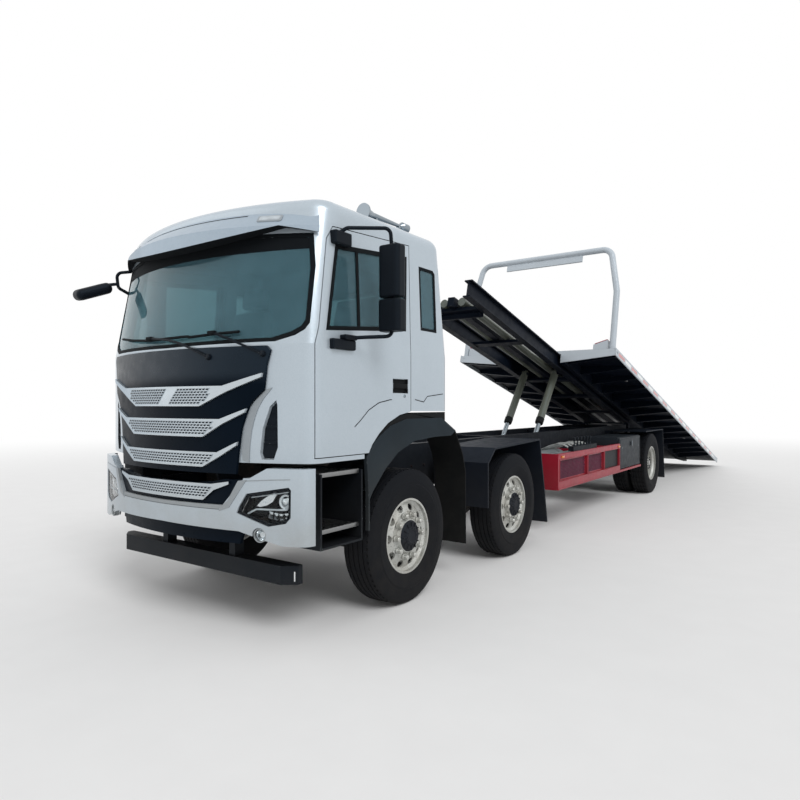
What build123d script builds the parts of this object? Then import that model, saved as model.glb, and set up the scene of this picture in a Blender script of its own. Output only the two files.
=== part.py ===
# Flatbed tow truck (rollback carrier): cab-over lorry with two steered front axles, one
# twin-tyred rear axle and a long deck that slides back and tips to the ground.
# Millimetres. -Y is forward, +X is the vehicle's left, +Z is up. The origin is on the ground
# in the middle of the whole outline. Stations are distances behind the front axle.
from build123d import *
import math
import os

os.makedirs("parts", exist_ok=True)

# ---------------------------------------------------------------- driving dimensions
# overall layout, stations behind the front axle
bumper_front = 1450            # front of the bumper ahead of the front axle
axle_2 = 1920                  # second steered axle
axle_3 = 7600                  # twin-tyred rear axle
frame_front = -1150
frame_end = 8480
pivot_station = 8608           # bed's tilt shaft
pivot_z = 1000
bed_angle = 14.05              # bed's tilt as it stands, degrees
deck_length = 9000
deck_width = 2500
deck_front_s = 3857            # deck's front edge ahead of the tilt shaft, along the bed

# wheels and axles
tyre_r = 525
tyre_w = 280
rim_r = 297
steer_x = 995                  # middle of a steered wheel
twin_outer_x = 1000
twin_inner_x = 690
kingpin_x = 830
hub_z = tyre_r
pin_play = 0.05                # radial running clearance of every pin

# chassis frame
frame_half = 430               # outside of the rails
rail_h = 280
rail_flange = 80
rail_t = 8
frame_top = 1010
sub_frame_h = 160              # mounting frame on top of the rails
sub_frame_front = 700

# cab
cab_half = 1150
cab_front = 1405               # front wall ahead of the front axle, on the centre line
cab_arc_r = 2461               # front wall's radius in plan
cab_rear = 545
cab_base = 1175
belt_z = 1950
roof_z = 2950
cab_wall = 50
screen_rake = 190              # how far the front leans back from belt to roof
tumblehome = 40                # how far each side leans in from belt to roof
cab_pivot_station = -1300
cab_pivot_z = 1130
door_front = -1100
door_rear = -33
door_sill_z = 1212
seam = 6                       # gap round the doors and the front lid

# bed: heights above the tilt shaft, square to the bed
bed_rail_low = 175
bed_rail_h = 205
bed_rail_half = 450
bed_rail_w = 100
bed_rail_front_s = 6660
deck_low = 385
deck_t = 8
floor_t = 4                    # load floor's plate on the deck
floor_margin = 700             # bare deck ahead of the load floor
sill_depth = 150               # deck's long members outside the bed rails
slide_gap = 10

# lift cylinders, between the bed rails and a bracket under the frame
lift_x = 250
lift_pin_s = 3512
lift_pin_n = 203
lift_base_station = 4120
lift_base_z = 680
lift_beam_station = 3900       # beam of the bracket, clear of the rod eyes as they swing
lift_beam_h = 140

# ---------------------------------------------------------------- derived places
sin_bed = math.sin(math.radians(bed_angle))
cos_bed = math.cos(math.radians(bed_angle))
tail_s = deck_front_s - deck_length
tail_station = pivot_station - tail_s * cos_bed + deck_low * sin_bed
front_axle_y = -(tail_station - bumper_front) / 2
pivot_y = front_axle_y + pivot_station
frame_low = frame_top - rail_h
deck_top = deck_low + deck_t


def at(station):
    """Y of a station behind the front axle."""
    return front_axle_y + station


def bed_point(s, n):
    """Y and Z of a point s ahead of the tilt shaft and n above it, square to the bed."""
    return (pivot_y - s * cos_bed + n * sin_bed, pivot_z + s * sin_bed + n * cos_bed)


# local x = X, local y = down the bed to the rear, local z = square to the bed
BED = Plane(origin=(0, pivot_y, pivot_z), x_dir=(1, 0, 0), z_dir=(0, sin_bed, cos_bed))
BELOW = (Align.CENTER, Align.CENTER, Align.MAX)
ABOVE = (Align.CENTER, Align.CENTER, Align.MIN)
SIDES = (1, -1)


def bed_section(s):
    """Plane square to the bed at s: local x = X, local y = square to the bed, normal forward."""
    y, z = bed_point(s, 0)
    return Plane(origin=(0, y, z), x_dir=(1, 0, 0), z_dir=(0, -cos_bed, sin_bed))


def across(x):
    """Plane for side profiles at x: local x = Y, local y = Z, normal +X."""
    return Plane.YZ.offset(x)


def front_on(station):
    """Plane for front outlines at a station: local x = X, local y = Z, normal forward."""
    return Plane.XZ.offset(-at(station))


def save(piece, name):
    piece.part.label = name
    export_step(piece.part, f"parts/{name}.step")


# ---------------------------------------------------------------- bumper's form in plan
bumper_half = 1160
bumper_arc_r = 2700
bumper_rear = -1121
bumper_t = 55
bumper_low = 650
bumper_high = 1147


def bumper_volume(inset, low, high):
    """Solid of the bumper's plan, inset from its face, between two heights."""
    half = bumper_half - inset
    front = at(-bumper_front) + inset
    radius = bumper_arc_r - inset
    corner_y = front + radius - math.sqrt(radius ** 2 - half ** 2)
    with BuildPart() as volume:
        with BuildSketch(Plane.XY.offset(low)) as outline:
            with BuildLine():
                ThreePointArc((-half, corner_y), (0, front), (half, corner_y))
                Polyline((half, corner_y), (half, at(bumper_rear)), (-half, at(bumper_rear)),
                         (-half, corner_y))
            make_face()
            fillet(outline.vertices().group_by(Axis.Y)[0], 90 - inset)
        extrude(amount=high - low)
    return volume.part


# ---------------------------------------------------------------- chassis frame
# station, bottom z, height of each cross member between the rails
cross_members = [(-1100, 760, 200), (1200, 885, 115), (2500, 885, 115), (3300, 885, 115), (5600, 860, 140),
                 (6500, 800, 200), (7100, 780, 220), (8430, 740, 260)]
lug_r = 58
pivot_shaft_r = 30
cab_shaft_r = 20

with BuildPart() as chassis_frame:
    for side in SIDES:
        rail_y = at((frame_front + frame_end) / 2)
        rail_length = frame_end - frame_front
        with Locations((side * (frame_half - rail_flange / 2), rail_y, frame_top - rail_h / 2)):
            Box(rail_flange, rail_length, rail_h)
        inner_shift = side * (frame_half - rail_flange / 2 - rail_t)
        with Locations((inner_shift, rail_y, frame_top - rail_h / 2)):
            Box(rail_flange, rail_length, rail_h - 2 * rail_t, mode=Mode.SUBTRACT)
        sub_length = frame_end - sub_frame_front
        with Locations((side * (frame_half - rail_flange / 2), at(sub_frame_front + sub_length / 2),
                        frame_top)):
            Box(rail_flange, sub_length, sub_frame_h, align=ABOVE)
    for station, low, height in cross_members:
        with Locations((0, at(station), low)):
            Box(2 * (frame_half - rail_t), 60, height, align=ABOVE)
    for station in (1500, 3300, 5600, 7000, 8430):
        with Locations((0, at(station), frame_top)):
            Box(2 * frame_half, 80, sub_frame_h - 20, align=ABOVE)
    # bracket of the lift cylinders: a beam under the rails with two plates round each rod eye
    with Locations((0, at(lift_beam_station), frame_low)):
        Box(2 * frame_half, 120, lift_beam_h, align=BELOW)
    for side in SIDES:
        for plate in (-1, 1):
            plate_x = side * lift_x + plate * 62
            with BuildSketch(across(plate_x - 8)):
                with BuildLine():
                    Polyline((at(lift_beam_station), frame_low),
                             (at(lift_beam_station), frame_low - lift_beam_h),
                             (at(lift_base_station + 55), lift_base_z - 60),
                             (at(lift_base_station + 55), frame_low), close=True)
                make_face()
            extrude(amount=16)
    # tilt shaft with its lugs behind the frame's end
    with Locations((0, pivot_y, pivot_z)):
        Cylinder(pivot_shaft_r, 2 * (bed_rail_half + 30), rotation=(0, 90, 0))
    for side in SIDES:
        for lug_x in (bed_rail_half + 14, bed_rail_half - bed_rail_w - 24):
            with BuildSketch(across(side * lug_x - 9)):
                with BuildLine():
                    Polyline((at(frame_end - 60), pivot_z - 180), (pivot_y, pivot_z - lug_r),
                             (pivot_y, pivot_z + lug_r), (at(frame_end - 60), pivot_z + lug_r), close=True)
                make_face()
                with Locations((pivot_y, pivot_z)):
                    Circle(lug_r)
            extrude(amount=18)
        with Locations((side * (frame_half + 17), at(frame_end - 60), frame_top - 100)):
            Box(50, 100, 180)
    # cab's front hinge shaft on two horns of the rails
    with Locations((0, at(cab_pivot_station), cab_pivot_z)):
        Cylinder(cab_shaft_r, 2 * frame_half + 80, rotation=(0, 90, 0))
    for side in SIDES:
        with BuildSketch(across(side * (frame_half + 12) - 10)):
            with BuildLine():
                Polyline((at(frame_front + 150), frame_low + 20),
                         (at(cab_pivot_station + 40), frame_low + 140),
                         (at(cab_pivot_station - 35), cab_pivot_z), (at(cab_pivot_station + 35), cab_pivot_z),
                         (at(frame_front + 150), frame_top - 20), close=True)
            make_face()
            with Locations((at(cab_pivot_station), cab_pivot_z)):
                Circle(35)
        extrude(amount=20)
        with Locations((side * (frame_half - 20), at(frame_front + 60), frame_top - 140)):
            Box(60, 100, 180)
    # arms that carry the bumper, ending on its inner face
    bumper_core = bumper_volume(bumper_t, 780, 880)
    for side in SIDES:
        arm_y = at(-(bumper_front - 200))
        with BuildPart(mode=Mode.PRIVATE) as arm:
            with Locations((side * (frame_half + 30), arm_y, 830)):
                Box(60, 560, 80)
        add(arm.part & bumper_core)
save(chassis_frame, "chassis_frame")

# ---------------------------------------------------------------- engine, one plain block
with BuildPart() as engine_block:
    with BuildSketch(across(-320)):
        with BuildLine():
            Polyline((at(-820), 800), (at(-820), 1400), (at(250), 1440), (at(380), 1300), (at(380), 800),
                     (at(250), 640), (at(-600), 640), close=True)
        make_face()
        fillet(vertices(), 40)
    extrude(amount=640)
save(engine_block, "engine_block")

# ---------------------------------------------------------------- axles and springs
beam_z = 505
beam_drop = 95
boss_r = 46
boss_h = 116
kingpin_r = 30
stub_r = 58                    # rear axle's stubs inside the hubs
drum_x = 665                   # inner end of the rear drums

with BuildPart() as steer_axles:
    for station in (0, axle_2):
        with BuildSketch(front_on(station - 50)):
            with BuildLine():
                Polyline((-kingpin_x, beam_z + 45), (-kingpin_x, beam_z - 45), (-620, beam_z - 45),
                         (-520, beam_z - 45 - beam_drop), (520, beam_z - 45 - beam_drop), (620, beam_z - 45),
                         (kingpin_x, beam_z - 45), (kingpin_x, beam_z + 45), (590, beam_z + 45),
                         (490, beam_z + 45 - beam_drop), (-490, beam_z + 45 - beam_drop), (-590, beam_z + 45),
                         close=True)
            make_face()
        extrude(amount=-100)
        for side in SIDES:
            with Locations((side * kingpin_x, at(station), beam_z)):
                Cylinder(boss_r, boss_h)
            with Locations((side * (kingpin_x + boss_r), at(station), beam_z)):
                Box(2 * (boss_r - 5), 200, 200, align=(Align.MIN if side > 0 else Align.MAX, Align.CENTER,
                                                        Align.CENTER), mode=Mode.SUBTRACT)
            with Locations((side * kingpin_x, at(station), beam_z)):
                Cylinder(kingpin_r + pin_play, boss_h + 20, mode=Mode.SUBTRACT)
save(steer_axles, "steer_axles")

shaft_z = 790                  # propeller shaft's middle bearing
housing_r = 75
with BuildPart() as rear_axle:
    with Locations((0, at(axle_3), hub_z)):
        Cylinder(housing_r, 2 * (drum_x - 12), rotation=(0, 90, 0))
        Cylinder(stub_r, 2 * (twin_outer_x + 20), rotation=(0, 90, 0))
        Sphere(230)
    with Locations((0, at(axle_3) - 215, hub_z)):
        Cylinder(85, 130, rotation=(90, 0, 0))
    # propeller shaft in two lengths from the gearbox
    for start, start_z, end, end_z in ((1000, 810, 4400, shaft_z), (4400, shaft_z, axle_3 - 270, hub_z)):
        run = Vector(0, end - start, end_z - start_z)
        with BuildSketch(Plane(origin=(0, at(start), start_z), z_dir=run)):
            Circle(52)
        extrude(amount=run.length)
    with Locations((0, at(4400), shaft_z)):
        Sphere(75)
    with Locations((0, at(780), 860)):
        Box(420, 620, 320)
save(rear_axle, "rear_axle")

spring_w = 90
spring_leaf = 16
spring_x = 385
# station of the middle, half length, leaves, top of the top leaf at its middle, top of the seat's foot
spring_sets = [(0, 780, 4, 600, beam_z + 45 - beam_drop), (axle_2, 740, 4, 600, beam_z + 45 - beam_drop),
               (axle_3, 830, 6, 704, hub_z + housing_r)]
with BuildPart() as leaf_springs:
    for side in SIDES:
        with BuildSketch(across(side * spring_x - spring_w / 2)):
            for station, half, leaves, top_z, seat_low in spring_sets:
                rise = frame_low - 15 - top_z
                for leaf in range(leaves):
                    share = 1 - leaf / (leaves + 0.5)
                    reach = half * share
                    low = top_z - leaf * spring_leaf
                    tip = low + rise * share ** 2
                    with BuildLine():
                        ThreePointArc((at(station - reach), tip), (at(station), low),
                                      (at(station + reach), tip))
                        Line((at(station + reach), tip), (at(station + reach), tip - spring_leaf))
                        ThreePointArc((at(station + reach), tip - spring_leaf),
                                      (at(station), low - spring_leaf),
                                      (at(station - reach), tip - spring_leaf))
                        Line((at(station - reach), tip - spring_leaf), (at(station - reach), tip))
                    make_face()
                for end in (-1, 1):
                    with Locations((at(station + end * half), frame_low - 30)):
                        Rectangle(70, 60)
                with Locations((at(station), seat_low)):
                    Rectangle(150, top_z - leaves * spring_leaf - seat_low + 4,
                              align=(Align.CENTER, Align.MIN))
        extrude(amount=spring_w)
save(leaf_springs, "leaf_springs")

# ---------------------------------------------------------------- wheels
bead_r = 286
rim_half = 105
# tyre section, distance from its middle plane and radius
tyre_shape = [(rim_half, bead_r), (rim_half, rim_r), (rim_half + 14, rim_r + 8), (tyre_w / 2, 400),
              (tyre_w / 2 - 6, 478),
              (tyre_w / 2 - 26, tyre_r - 4), (tyre_w / 2 - 50, tyre_r)]


def mirrored_section(half):
    """Closed section from its half on the outer side."""
    return half + [(-w, r) for w, r in reversed(half)]


def tyre_sketch(middle_x, station, shape):
    """Section drawn in the plane through the wheel's axle: local x = X, local y = radius."""
    with BuildSketch(Plane.XZ.offset(-at(station)).shift_origin((0, at(station), hub_z))) as section:
        with BuildLine():
            Polyline(*[(middle_x + w, r) for w, r in mirrored_section(shape)], close=True)
        make_face()
    return section.sketch


def wheel_axis(station):
    return Axis((0, at(station), hub_z), (1, 0, 0))


def make_tyres(station, middles):
    with BuildPart() as tyres:
        for middle_x in middles:
            add(tyre_sketch(middle_x, station, tyre_shape))
            revolve(axis=wheel_axis(station))
    return tyres


well_r = 250
disc_hole_r = 30
hand_hole_pcd_r = 222
nut_pcd_r = 167
nut_r = 17
# steered wheel's rim, disc, hub and drum: offset from the wheel's middle plane, radius
steer_rim = [(-rim_half, rim_r), (-rim_half, bead_r), (-80, bead_r), (-60, well_r + 10), (60, well_r + 10),
             (80, bead_r), (rim_half, bead_r), (rim_half, rim_r), (rim_half + 8, rim_r), (rim_half + 8, 276),
             (88, 274), (70, well_r), (86, 205), (96, 190), (96, 140), (120, 128), (128, 60), (135, 56),
             (135, 0),
             (80, 0), (80, 36), (-52, 36), (-52, 90), (-40, 205), (74, 205), (60, well_r), (-60, well_r),
             (-88, 276), (-rim_half - 8, 276), (-rim_half - 8, rim_r)]
spindle_r = 35


def rim_sketch(station, places):
    with BuildSketch(Plane.XZ.offset(-at(station)).shift_origin((0, at(station), hub_z))) as section:
        with BuildLine():
            Polyline(*places, close=True)
        make_face()
    return section.sketch


def wheel_face(station, x):
    return Plane(origin=(x, at(station), hub_z), x_dir=(0, 1, 0), z_dir=(1, 0, 0))


def make_steer_rim(station, side):
    with BuildPart() as rim:
        add(rim_sketch(station, [(side * (steer_x + w), r) for w, r in steer_rim]))
        revolve(axis=wheel_axis(station))
        with BuildSketch(wheel_face(station, side * (steer_x + 60))):
            with PolarLocations(hand_hole_pcd_r + 8, 10):
                Circle(disc_hole_r * 0.7)
        extrude(amount=side * 60, mode=Mode.SUBTRACT)
        with BuildSketch(wheel_face(station, side * (steer_x + 96))):
            with PolarLocations(nut_pcd_r, 10):
                RegularPolygon(nut_r, 6)
        extrude(amount=side * 26)
    return rim


def make_twin_rims(station, side):
    with BuildPart() as rims:
        for middle in (twin_outer_x, twin_inner_x):
            ring = [(-rim_half - 8, rim_r), (-rim_half, rim_r), (-rim_half, bead_r), (-80, bead_r),
                    (-60, well_r + 10), (60, well_r + 10), (80, bead_r), (rim_half, bead_r),
                    (rim_half, rim_r),
                    (rim_half + 8, rim_r), (rim_half + 8, 276), (88, 276), (60, well_r), (-60, well_r),
                    (-88, 276), (-rim_half - 8, 276)]
            add(rim_sketch(station, [(side * (middle + w), r) for w, r in ring]))
            revolve(axis=wheel_axis(station))
        mating_x = (twin_outer_x + twin_inner_x) / 2
        # hub cap, outer disc, inner disc, drum and the hub's bore, as X and radius
        disc = [(twin_outer_x + 75, 0), (twin_outer_x + 75, 70), (twin_outer_x + 60, 112),
                (mating_x + 26, 120),
                (mating_x + 26, 213), (twin_outer_x - 40, well_r + 4), (twin_outer_x - 60, well_r + 4),
                (mating_x + 7, 214), (mating_x - 7, 214), (twin_inner_x + 60, well_r + 4),
                (twin_inner_x + 40, well_r + 4), (mating_x - 26, 213), (mating_x - 26, 205),
                (drum_x + 20, 205),
                (drum_x, 80), (drum_x, stub_r + pin_play), (twin_outer_x + 30, stub_r + pin_play),
                (twin_outer_x + 30, 0)]
        add(rim_sketch(station, [(side * x, r) for x, r in disc]))
        revolve(axis=wheel_axis(station))
        with BuildSketch(wheel_face(station, side * (mating_x + 20))):
            with PolarLocations(nut_pcd_r, 10):
                RegularPolygon(nut_r, 6)
        extrude(amount=side * 34)
    return rims


# name, station
steer_places = [("1", 0), ("2", axle_2)]
side_names = [("left", 1), ("right", -1)]
for number, station in steer_places:
    for side_name, side in side_names:
        save(make_tyres(station, [side * steer_x]), f"tyre_{number}_{side_name}")
        save(make_steer_rim(station, side), f"rim_{number}_{side_name}")
        # steering knuckle: fork round the axle's boss, kingpin, spindle and steering arm
        with BuildPart() as knuckle:
            fork_gap = boss_h / 2 + 1
            for up in (1, -1):
                with Locations((side * kingpin_x, at(station), beam_z + up * (fork_gap + 22))):
                    Cylinder(50, 44)
                with Locations((side * (kingpin_x + 45), at(station), beam_z + up * (fork_gap + 22))):
                    Box(90, 90, 44)
            with Locations((side * kingpin_x, at(station), beam_z)):
                Cylinder(kingpin_r, boss_h + 20)
            with Locations((side * (kingpin_x + 80), at(station), beam_z)):
                Box(40, 130, 206)
            with Locations((side * (kingpin_x + 90), at(station), hub_z)):
                Cylinder(spindle_r, 150, rotation=(0, 90, 0), align=(Align.CENTER, Align.CENTER,
                                                                    Align.MIN if side > 0 else Align.MAX))
            with Locations((side * (kingpin_x - 45), at(station) + 130, beam_z - fork_gap - 22)):
                Box(60, 230, 30)
        save(knuckle, f"knuckle_{number}_{side_name}")
for side_name, side in side_names:
    save(make_tyres(axle_3, [side * twin_outer_x, side * twin_inner_x]), f"tyres_3_{side_name}")
    save(make_twin_rims(axle_3, side), f"rims_3_{side_name}")

# ---------------------------------------------------------------- cab
cab_step_station = -600        # rear of the foot well
arch_top_z = 1500              # cab's lower edge over the wheel
tunnel_half = 370
belt_corners = (115, 90)       # plan radii of the front and rear corners up to the belt
roof_corners = (200, 170)
roof_edge = 110
tunnel_z = 1475


def cab_plan(height, inset, lean, tuck, front_corner, rear_corner):
    """Cab's outline at a height, inset from the outside, its front leant back and its sides tucked in."""
    half = cab_half - inset - tuck
    radius = cab_arc_r - inset
    front = at(-cab_front) + inset + lean
    corner_y = front + radius - math.sqrt(radius ** 2 - half ** 2)
    rear = at(cab_rear) - inset - lean * 0.15
    with BuildSketch(Plane.XY.offset(height)) as outline:
        with BuildLine():
            ThreePointArc((-half, corner_y), (0, front), (half, corner_y))
            Polyline((half, corner_y), (half, rear), (-half, rear), (-half, corner_y))
        make_face()
        fillet(outline.vertices().group_by(Axis.Y)[0], front_corner - inset)
        fillet(outline.vertices().group_by(Axis.Y)[-1], rear_corner - inset)
    return outline.sketch


def cab_volume(inset, low, edge):
    """The cab's outer form, inset all round, from the height low up, with a roof edge radius."""
    with BuildPart() as volume:
        add(cab_plan(low, inset, 0, 0, *belt_corners))
        extrude(amount=belt_z - low)
        add(cab_plan(belt_z, inset, 0, 0, *belt_corners))
        add(cab_plan(roof_z - inset, inset, screen_rake, tumblehome, *roof_corners))
        loft()
        fillet(volume.faces().sort_by(Axis.Z)[-1].edges(), edge)
    return volume.part


def side_outline(points, x_from, x_to, grow=0):
    """Prism across the cab from an outline of stations and heights, grown by an even margin."""
    with BuildPart() as prism:
        with BuildSketch(across(x_from)):
            with BuildLine():
                Polyline(*[(at(station), z) for station, z in points], close=True)
            make_face()
            if grow:
                offset(amount=grow, kind=Kind.INTERSECTION)
        extrude(amount=x_to - x_from)
    return prism.part


def front_outline(points, depth, grow=0):
    """Prism along Y from an outline of X and Z on the left half, mirrored, grown by an even margin."""
    with BuildPart() as prism:
        with BuildSketch(front_on(-cab_front - 200)):
            with BuildLine():
                Polyline(*points, *[(-x, z) for x, z in reversed(points) if x], close=True)
            make_face()
            if grow:
                offset(amount=grow, kind=Kind.INTERSECTION)
        extrude(amount=-depth)
    return prism.part


def front_patch(points, side, grow=0):
    """Prism along Y from an outline on one side of the front."""
    with BuildPart() as prism:
        with BuildSketch(front_on(-bumper_front - 200)):
            with BuildLine():
                Polyline(*[(side * x, z) for x, z in points], close=True)
            make_face()
            if grow:
                offset(amount=grow, kind=Kind.INTERSECTION)
        extrude(amount=-600)
    return prism.part


# outlines, as stations and heights on a side, or X and Z on the left half of the front
door_outline = [(door_front, door_sill_z), (door_front, belt_z), (-1065, 2060), (-957, 2660), (-905, 2745),
                (door_rear + 20, 2800),
                (door_rear, 2100), (door_rear, 1502), (-180, 1478), (-330, 1420), (-440, 1345), (-520, 1270),
                (-560, door_sill_z)]
door_window = [(-1008, 2042), (-889, 2635), (-45, 2710), (-85, 2122)]
quarter_window = [(120, 2150), (120, 2665), (330, 2665), (360, 2640), (360, 2150)]
under_cab = [(-610, 900), (-610, door_sill_z - seam), (-560, door_sill_z - seam), (-505, 1290), (-430, 1358),
             (-320, 1428), (-170, 1486), (door_rear, arch_top_z + 6), (cab_rear + 100, arch_top_z),
             (cab_rear + 100, 900)]
screen_outline = [(0, 1953), (905, 1965), (1026, 2003), (1082, 2040), (1103, 2083), (1087, 2467),
                  (1052, 2690),
                  (0, 2730)]
glass_inset = 8
glass_t = 8
glass_gap = 2

outer_cab = cab_volume(0, cab_base, roof_edge)
inner_cab = cab_volume(cab_wall, cab_base + 45, roof_edge - cab_wall)
screen_depth = 600
vent_outline = [(915, 1585), (923, 1553), (926, 1279), (900, 1200), (820, 1200), (808, 1240), (826, 1400),
                (874, 1545)]
vent_depth = 22
screen_prism = front_outline(screen_outline, screen_depth)
rear_window = [(420, 2120), (420, 2560), (-420, 2560), (-420, 2120)]

vent_skin = outer_cab - cab_volume(vent_depth, cab_base - 20, roof_edge - vent_depth)

with BuildPart() as foot_block:
    # floor behind the foot well and the tunnel over the engine
    with Locations((0, at(cab_step_station + 650), cab_base)):
        Box(2 * cab_half, 1300, arch_top_z + 40 - cab_base, align=ABOVE)
    with Locations((0, at(-400), cab_base)):
        Box(2 * tunnel_half + 80, 2 * 1300, tunnel_z + 55 - cab_base, align=ABOVE)

with BuildPart() as cab_shell:
    add(outer_cab)
    add(inner_cab - foot_block.part, mode=Mode.SUBTRACT)
    # space over the engine and the wheels
    with Locations((0, at(-1230), cab_base - 10)):
        Box(2 * tunnel_half, 2000, tunnel_z + 10 - cab_base, align=(Align.CENTER, Align.MIN, Align.MIN),
            mode=Mode.SUBTRACT)
    add(side_outline(under_cab, -cab_half - 60, cab_half + 60), mode=Mode.SUBTRACT)
    add(screen_prism, mode=Mode.SUBTRACT)
    for side in SIDES:
        add(front_patch(vent_outline, side) & vent_skin, mode=Mode.SUBTRACT)
        low, high = (700, cab_half + 60) if side > 0 else (-cab_half - 60, -700)
        add(side_outline(door_outline, low, high, seam), mode=Mode.SUBTRACT)
        add(side_outline(quarter_window, low, high), mode=Mode.SUBTRACT)
    with BuildSketch(front_on(cab_rear + 60)):
        with BuildLine():
            Polyline(*rear_window, close=True)
        make_face()
        fillet(vertices(), 50)
    extrude(amount=200, mode=Mode.SUBTRACT)
    # ears round the front hinge shaft
    for side in SIDES:
        with BuildSketch(across(side * (frame_half - 40) - 30)):
            with Locations((at(cab_pivot_station), cab_pivot_z)):
                Circle(42)
            with Locations((at(cab_pivot_station), cab_pivot_z + 40)):
                Rectangle(84, 80)
        extrude(amount=60)
        with Locations((side * (frame_half - 40), at(cab_pivot_station), cab_pivot_z)):
            Cylinder(cab_shaft_r + pin_play, 80, rotation=(0, 90, 0), mode=Mode.SUBTRACT)
save(cab_shell, "cab_shell")

# one skin between two insets serves all the panes
pane_skin = (cab_volume(glass_inset, cab_base, roof_edge - glass_inset)
             - cab_volume(glass_inset + glass_t, cab_base, roof_edge - glass_inset - glass_t))
with BuildPart() as cab_glass:
    add(pane_skin & front_outline(screen_outline, screen_depth, -glass_gap))
    for side in SIDES:
        low, high = (700, cab_half + 60) if side > 0 else (-cab_half - 60, -700)
        add(pane_skin & side_outline(quarter_window, low, high, -glass_gap))
    with BuildPart(mode=Mode.PRIVATE) as rear_prism:
        with BuildSketch(front_on(cab_rear + 60)):
            with BuildLine():
                Polyline(*rear_window, close=True)
            make_face()
            fillet(vertices(), 50)
            offset(amount=-glass_gap)
        extrude(amount=200)
    add(pane_skin & rear_prism.part)
save(cab_glass, "cab_glass")

door_skin = outer_cab - cab_volume(cab_wall, cab_base - 20, roof_edge - cab_wall)
for side_name, side in side_names:
    low, high = (700, cab_half + 60) if side > 0 else (-cab_half - 60, -700)
    with BuildPart() as door:
        add(door_skin & side_outline(door_outline, low, high))
        add(side_outline(door_window, low, high), mode=Mode.SUBTRACT)
        # handle recess
        with Locations((side * cab_half, at(-170), 1697)):
            Box(36, 200, 110, mode=Mode.SUBTRACT)
        with Locations((side * (cab_half - 8), at(-170), 1697)):
            Box(14, 202, 36)
    save(door, f"door_{side_name}")
    with BuildPart() as pane:
        add(pane_skin & side_outline(door_window, low, high, -glass_gap))
    save(pane, f"door_glass_{side_name}")

# ---------------------------------------------------------------- front lid and its grille strips
lid_t = 16
strip_t = 16
lid_low = 1100
lid_high = 1938


def front_skin(outer, inner, outline):
    """Skin that follows the cab's front, between two distances proud of it, within a front outline."""
    with BuildPart() as skin:
        add(cab_plan(lid_low - 20, -outer, 0, 0, *belt_corners))
        extrude(amount=lid_high + 40 - lid_low)
        add(cab_plan(lid_low - 20, -inner, 0, 0, *belt_corners))
        extrude(amount=lid_high + 40 - lid_low, mode=Mode.SUBTRACT)
        add(outline, mode=Mode.INTERSECT)
    return skin.part


lid_outline = [(0, lid_high), (865, lid_high), (891, 1909), (866, 1812), (848, 1650), (773, 1579),
               (745, 1540),
               (716, 1468), (694, 1402), (680, 1320), (665, 1200), (655, lid_low), (0, lid_low)]
# winged strips, the left half of each as X and Z
strip_outlines = [
    [(0, 1680), (560, 1680), (848, 1760), (844, 1734), (590, 1640), (370, 1545), (0, 1545)],
    [(0, 1460), (540, 1460), (740, 1530), (728, 1504), (560, 1428), (400, 1340), (0, 1340)],
    [(0, 1240), (520, 1240), (676, 1312), (668, 1288), (540, 1212), (400, 1140), (0, 1140)],
]
with BuildPart() as front_lid:
    add(front_skin(seam + lid_t, seam, front_outline(lid_outline, 700)))
save(front_lid, "front_lid")
with BuildPart() as grille_strips:
    for outline in strip_outlines:
        add(front_skin(seam + lid_t + strip_t, seam + lid_t, front_outline(outline, 700)))
save(grille_strips, "grille_strips")

# ---------------------------------------------------------------- roof visor
# height, front, station of the ends and half width: under the lip, the lip and the line on the roof
visor_levels = [(2600, -1402, -1022, 1100), (2735, -1400, -1020, 1100), (2870, -1225, -960, 1040)]
lip_centre_z = 2640            # the lip hangs lowest on the centre line
lip_side = (874, 2735)
lip_end = (1200, 2670)
with BuildPart() as roof_visor:
    for height, front, ends, half in visor_levels:
        with BuildSketch(Plane.XY.offset(height)):
            with BuildLine():
                ThreePointArc((-half, at(ends)), (0, at(front)), (half, at(ends)))
                Line((half, at(ends)), (-half, at(ends)))
            make_face()
    loft(ruled=True)
    with BuildSketch(front_on(-cab_front - 200)):
        with BuildLine():
            ThreePointArc((-lip_side[0], lip_side[1]), (0, lip_centre_z), lip_side)
            Polyline(lip_side, lip_end, (lip_end[0], 2500), (-lip_end[0], 2500), (-lip_end[0], lip_end[1]),
                     (-lip_side[0], lip_side[1]))
        make_face()
    extrude(amount=-900, mode=Mode.SUBTRACT)
    add(outer_cab, mode=Mode.SUBTRACT)
save(roof_visor, "roof_visor")

# ---------------------------------------------------------------- bumper, lamps, valance and underrun bar


bumper_outline = [(0, 1062), (780, 1080), (900, bumper_high), (1170, bumper_high), (1170, bumper_low + 5),
                  (1000, bumper_low + 5), (700, 735), (0, 745)]
grille_notch = [(0, 1100), (745, 1100), (735, 1072), (551, 865), (0, 865)]
bumper_strip = [(0, 1030), (480, 1030), (620, 1052), (620, 1034), (500, 990), (410, 920), (0, 920)]
lamp_outline = [(686, 852), (703, 893), (757, 980), (1040, 1030), (1055, 1012), (1053, 838), (1023, 800),
                (906, 775)]
fog_x = 846
fog_z = 716
fog_r = 45
valance_outline = [(0, 760), (700, 750), (660, 640), (0, 640)]
# panel behind the notch, low in the middle where the lid swings past as the cab tilts
notch_panel = [(0, 1028), (300, 1028), (480, 1045), (560, 1062), (780, 1062), (780, 800), (0, 800)]
bumper_shell = bumper_volume(0, bumper_low, bumper_high) - bumper_volume(bumper_t, bumper_low, bumper_high)

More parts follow.
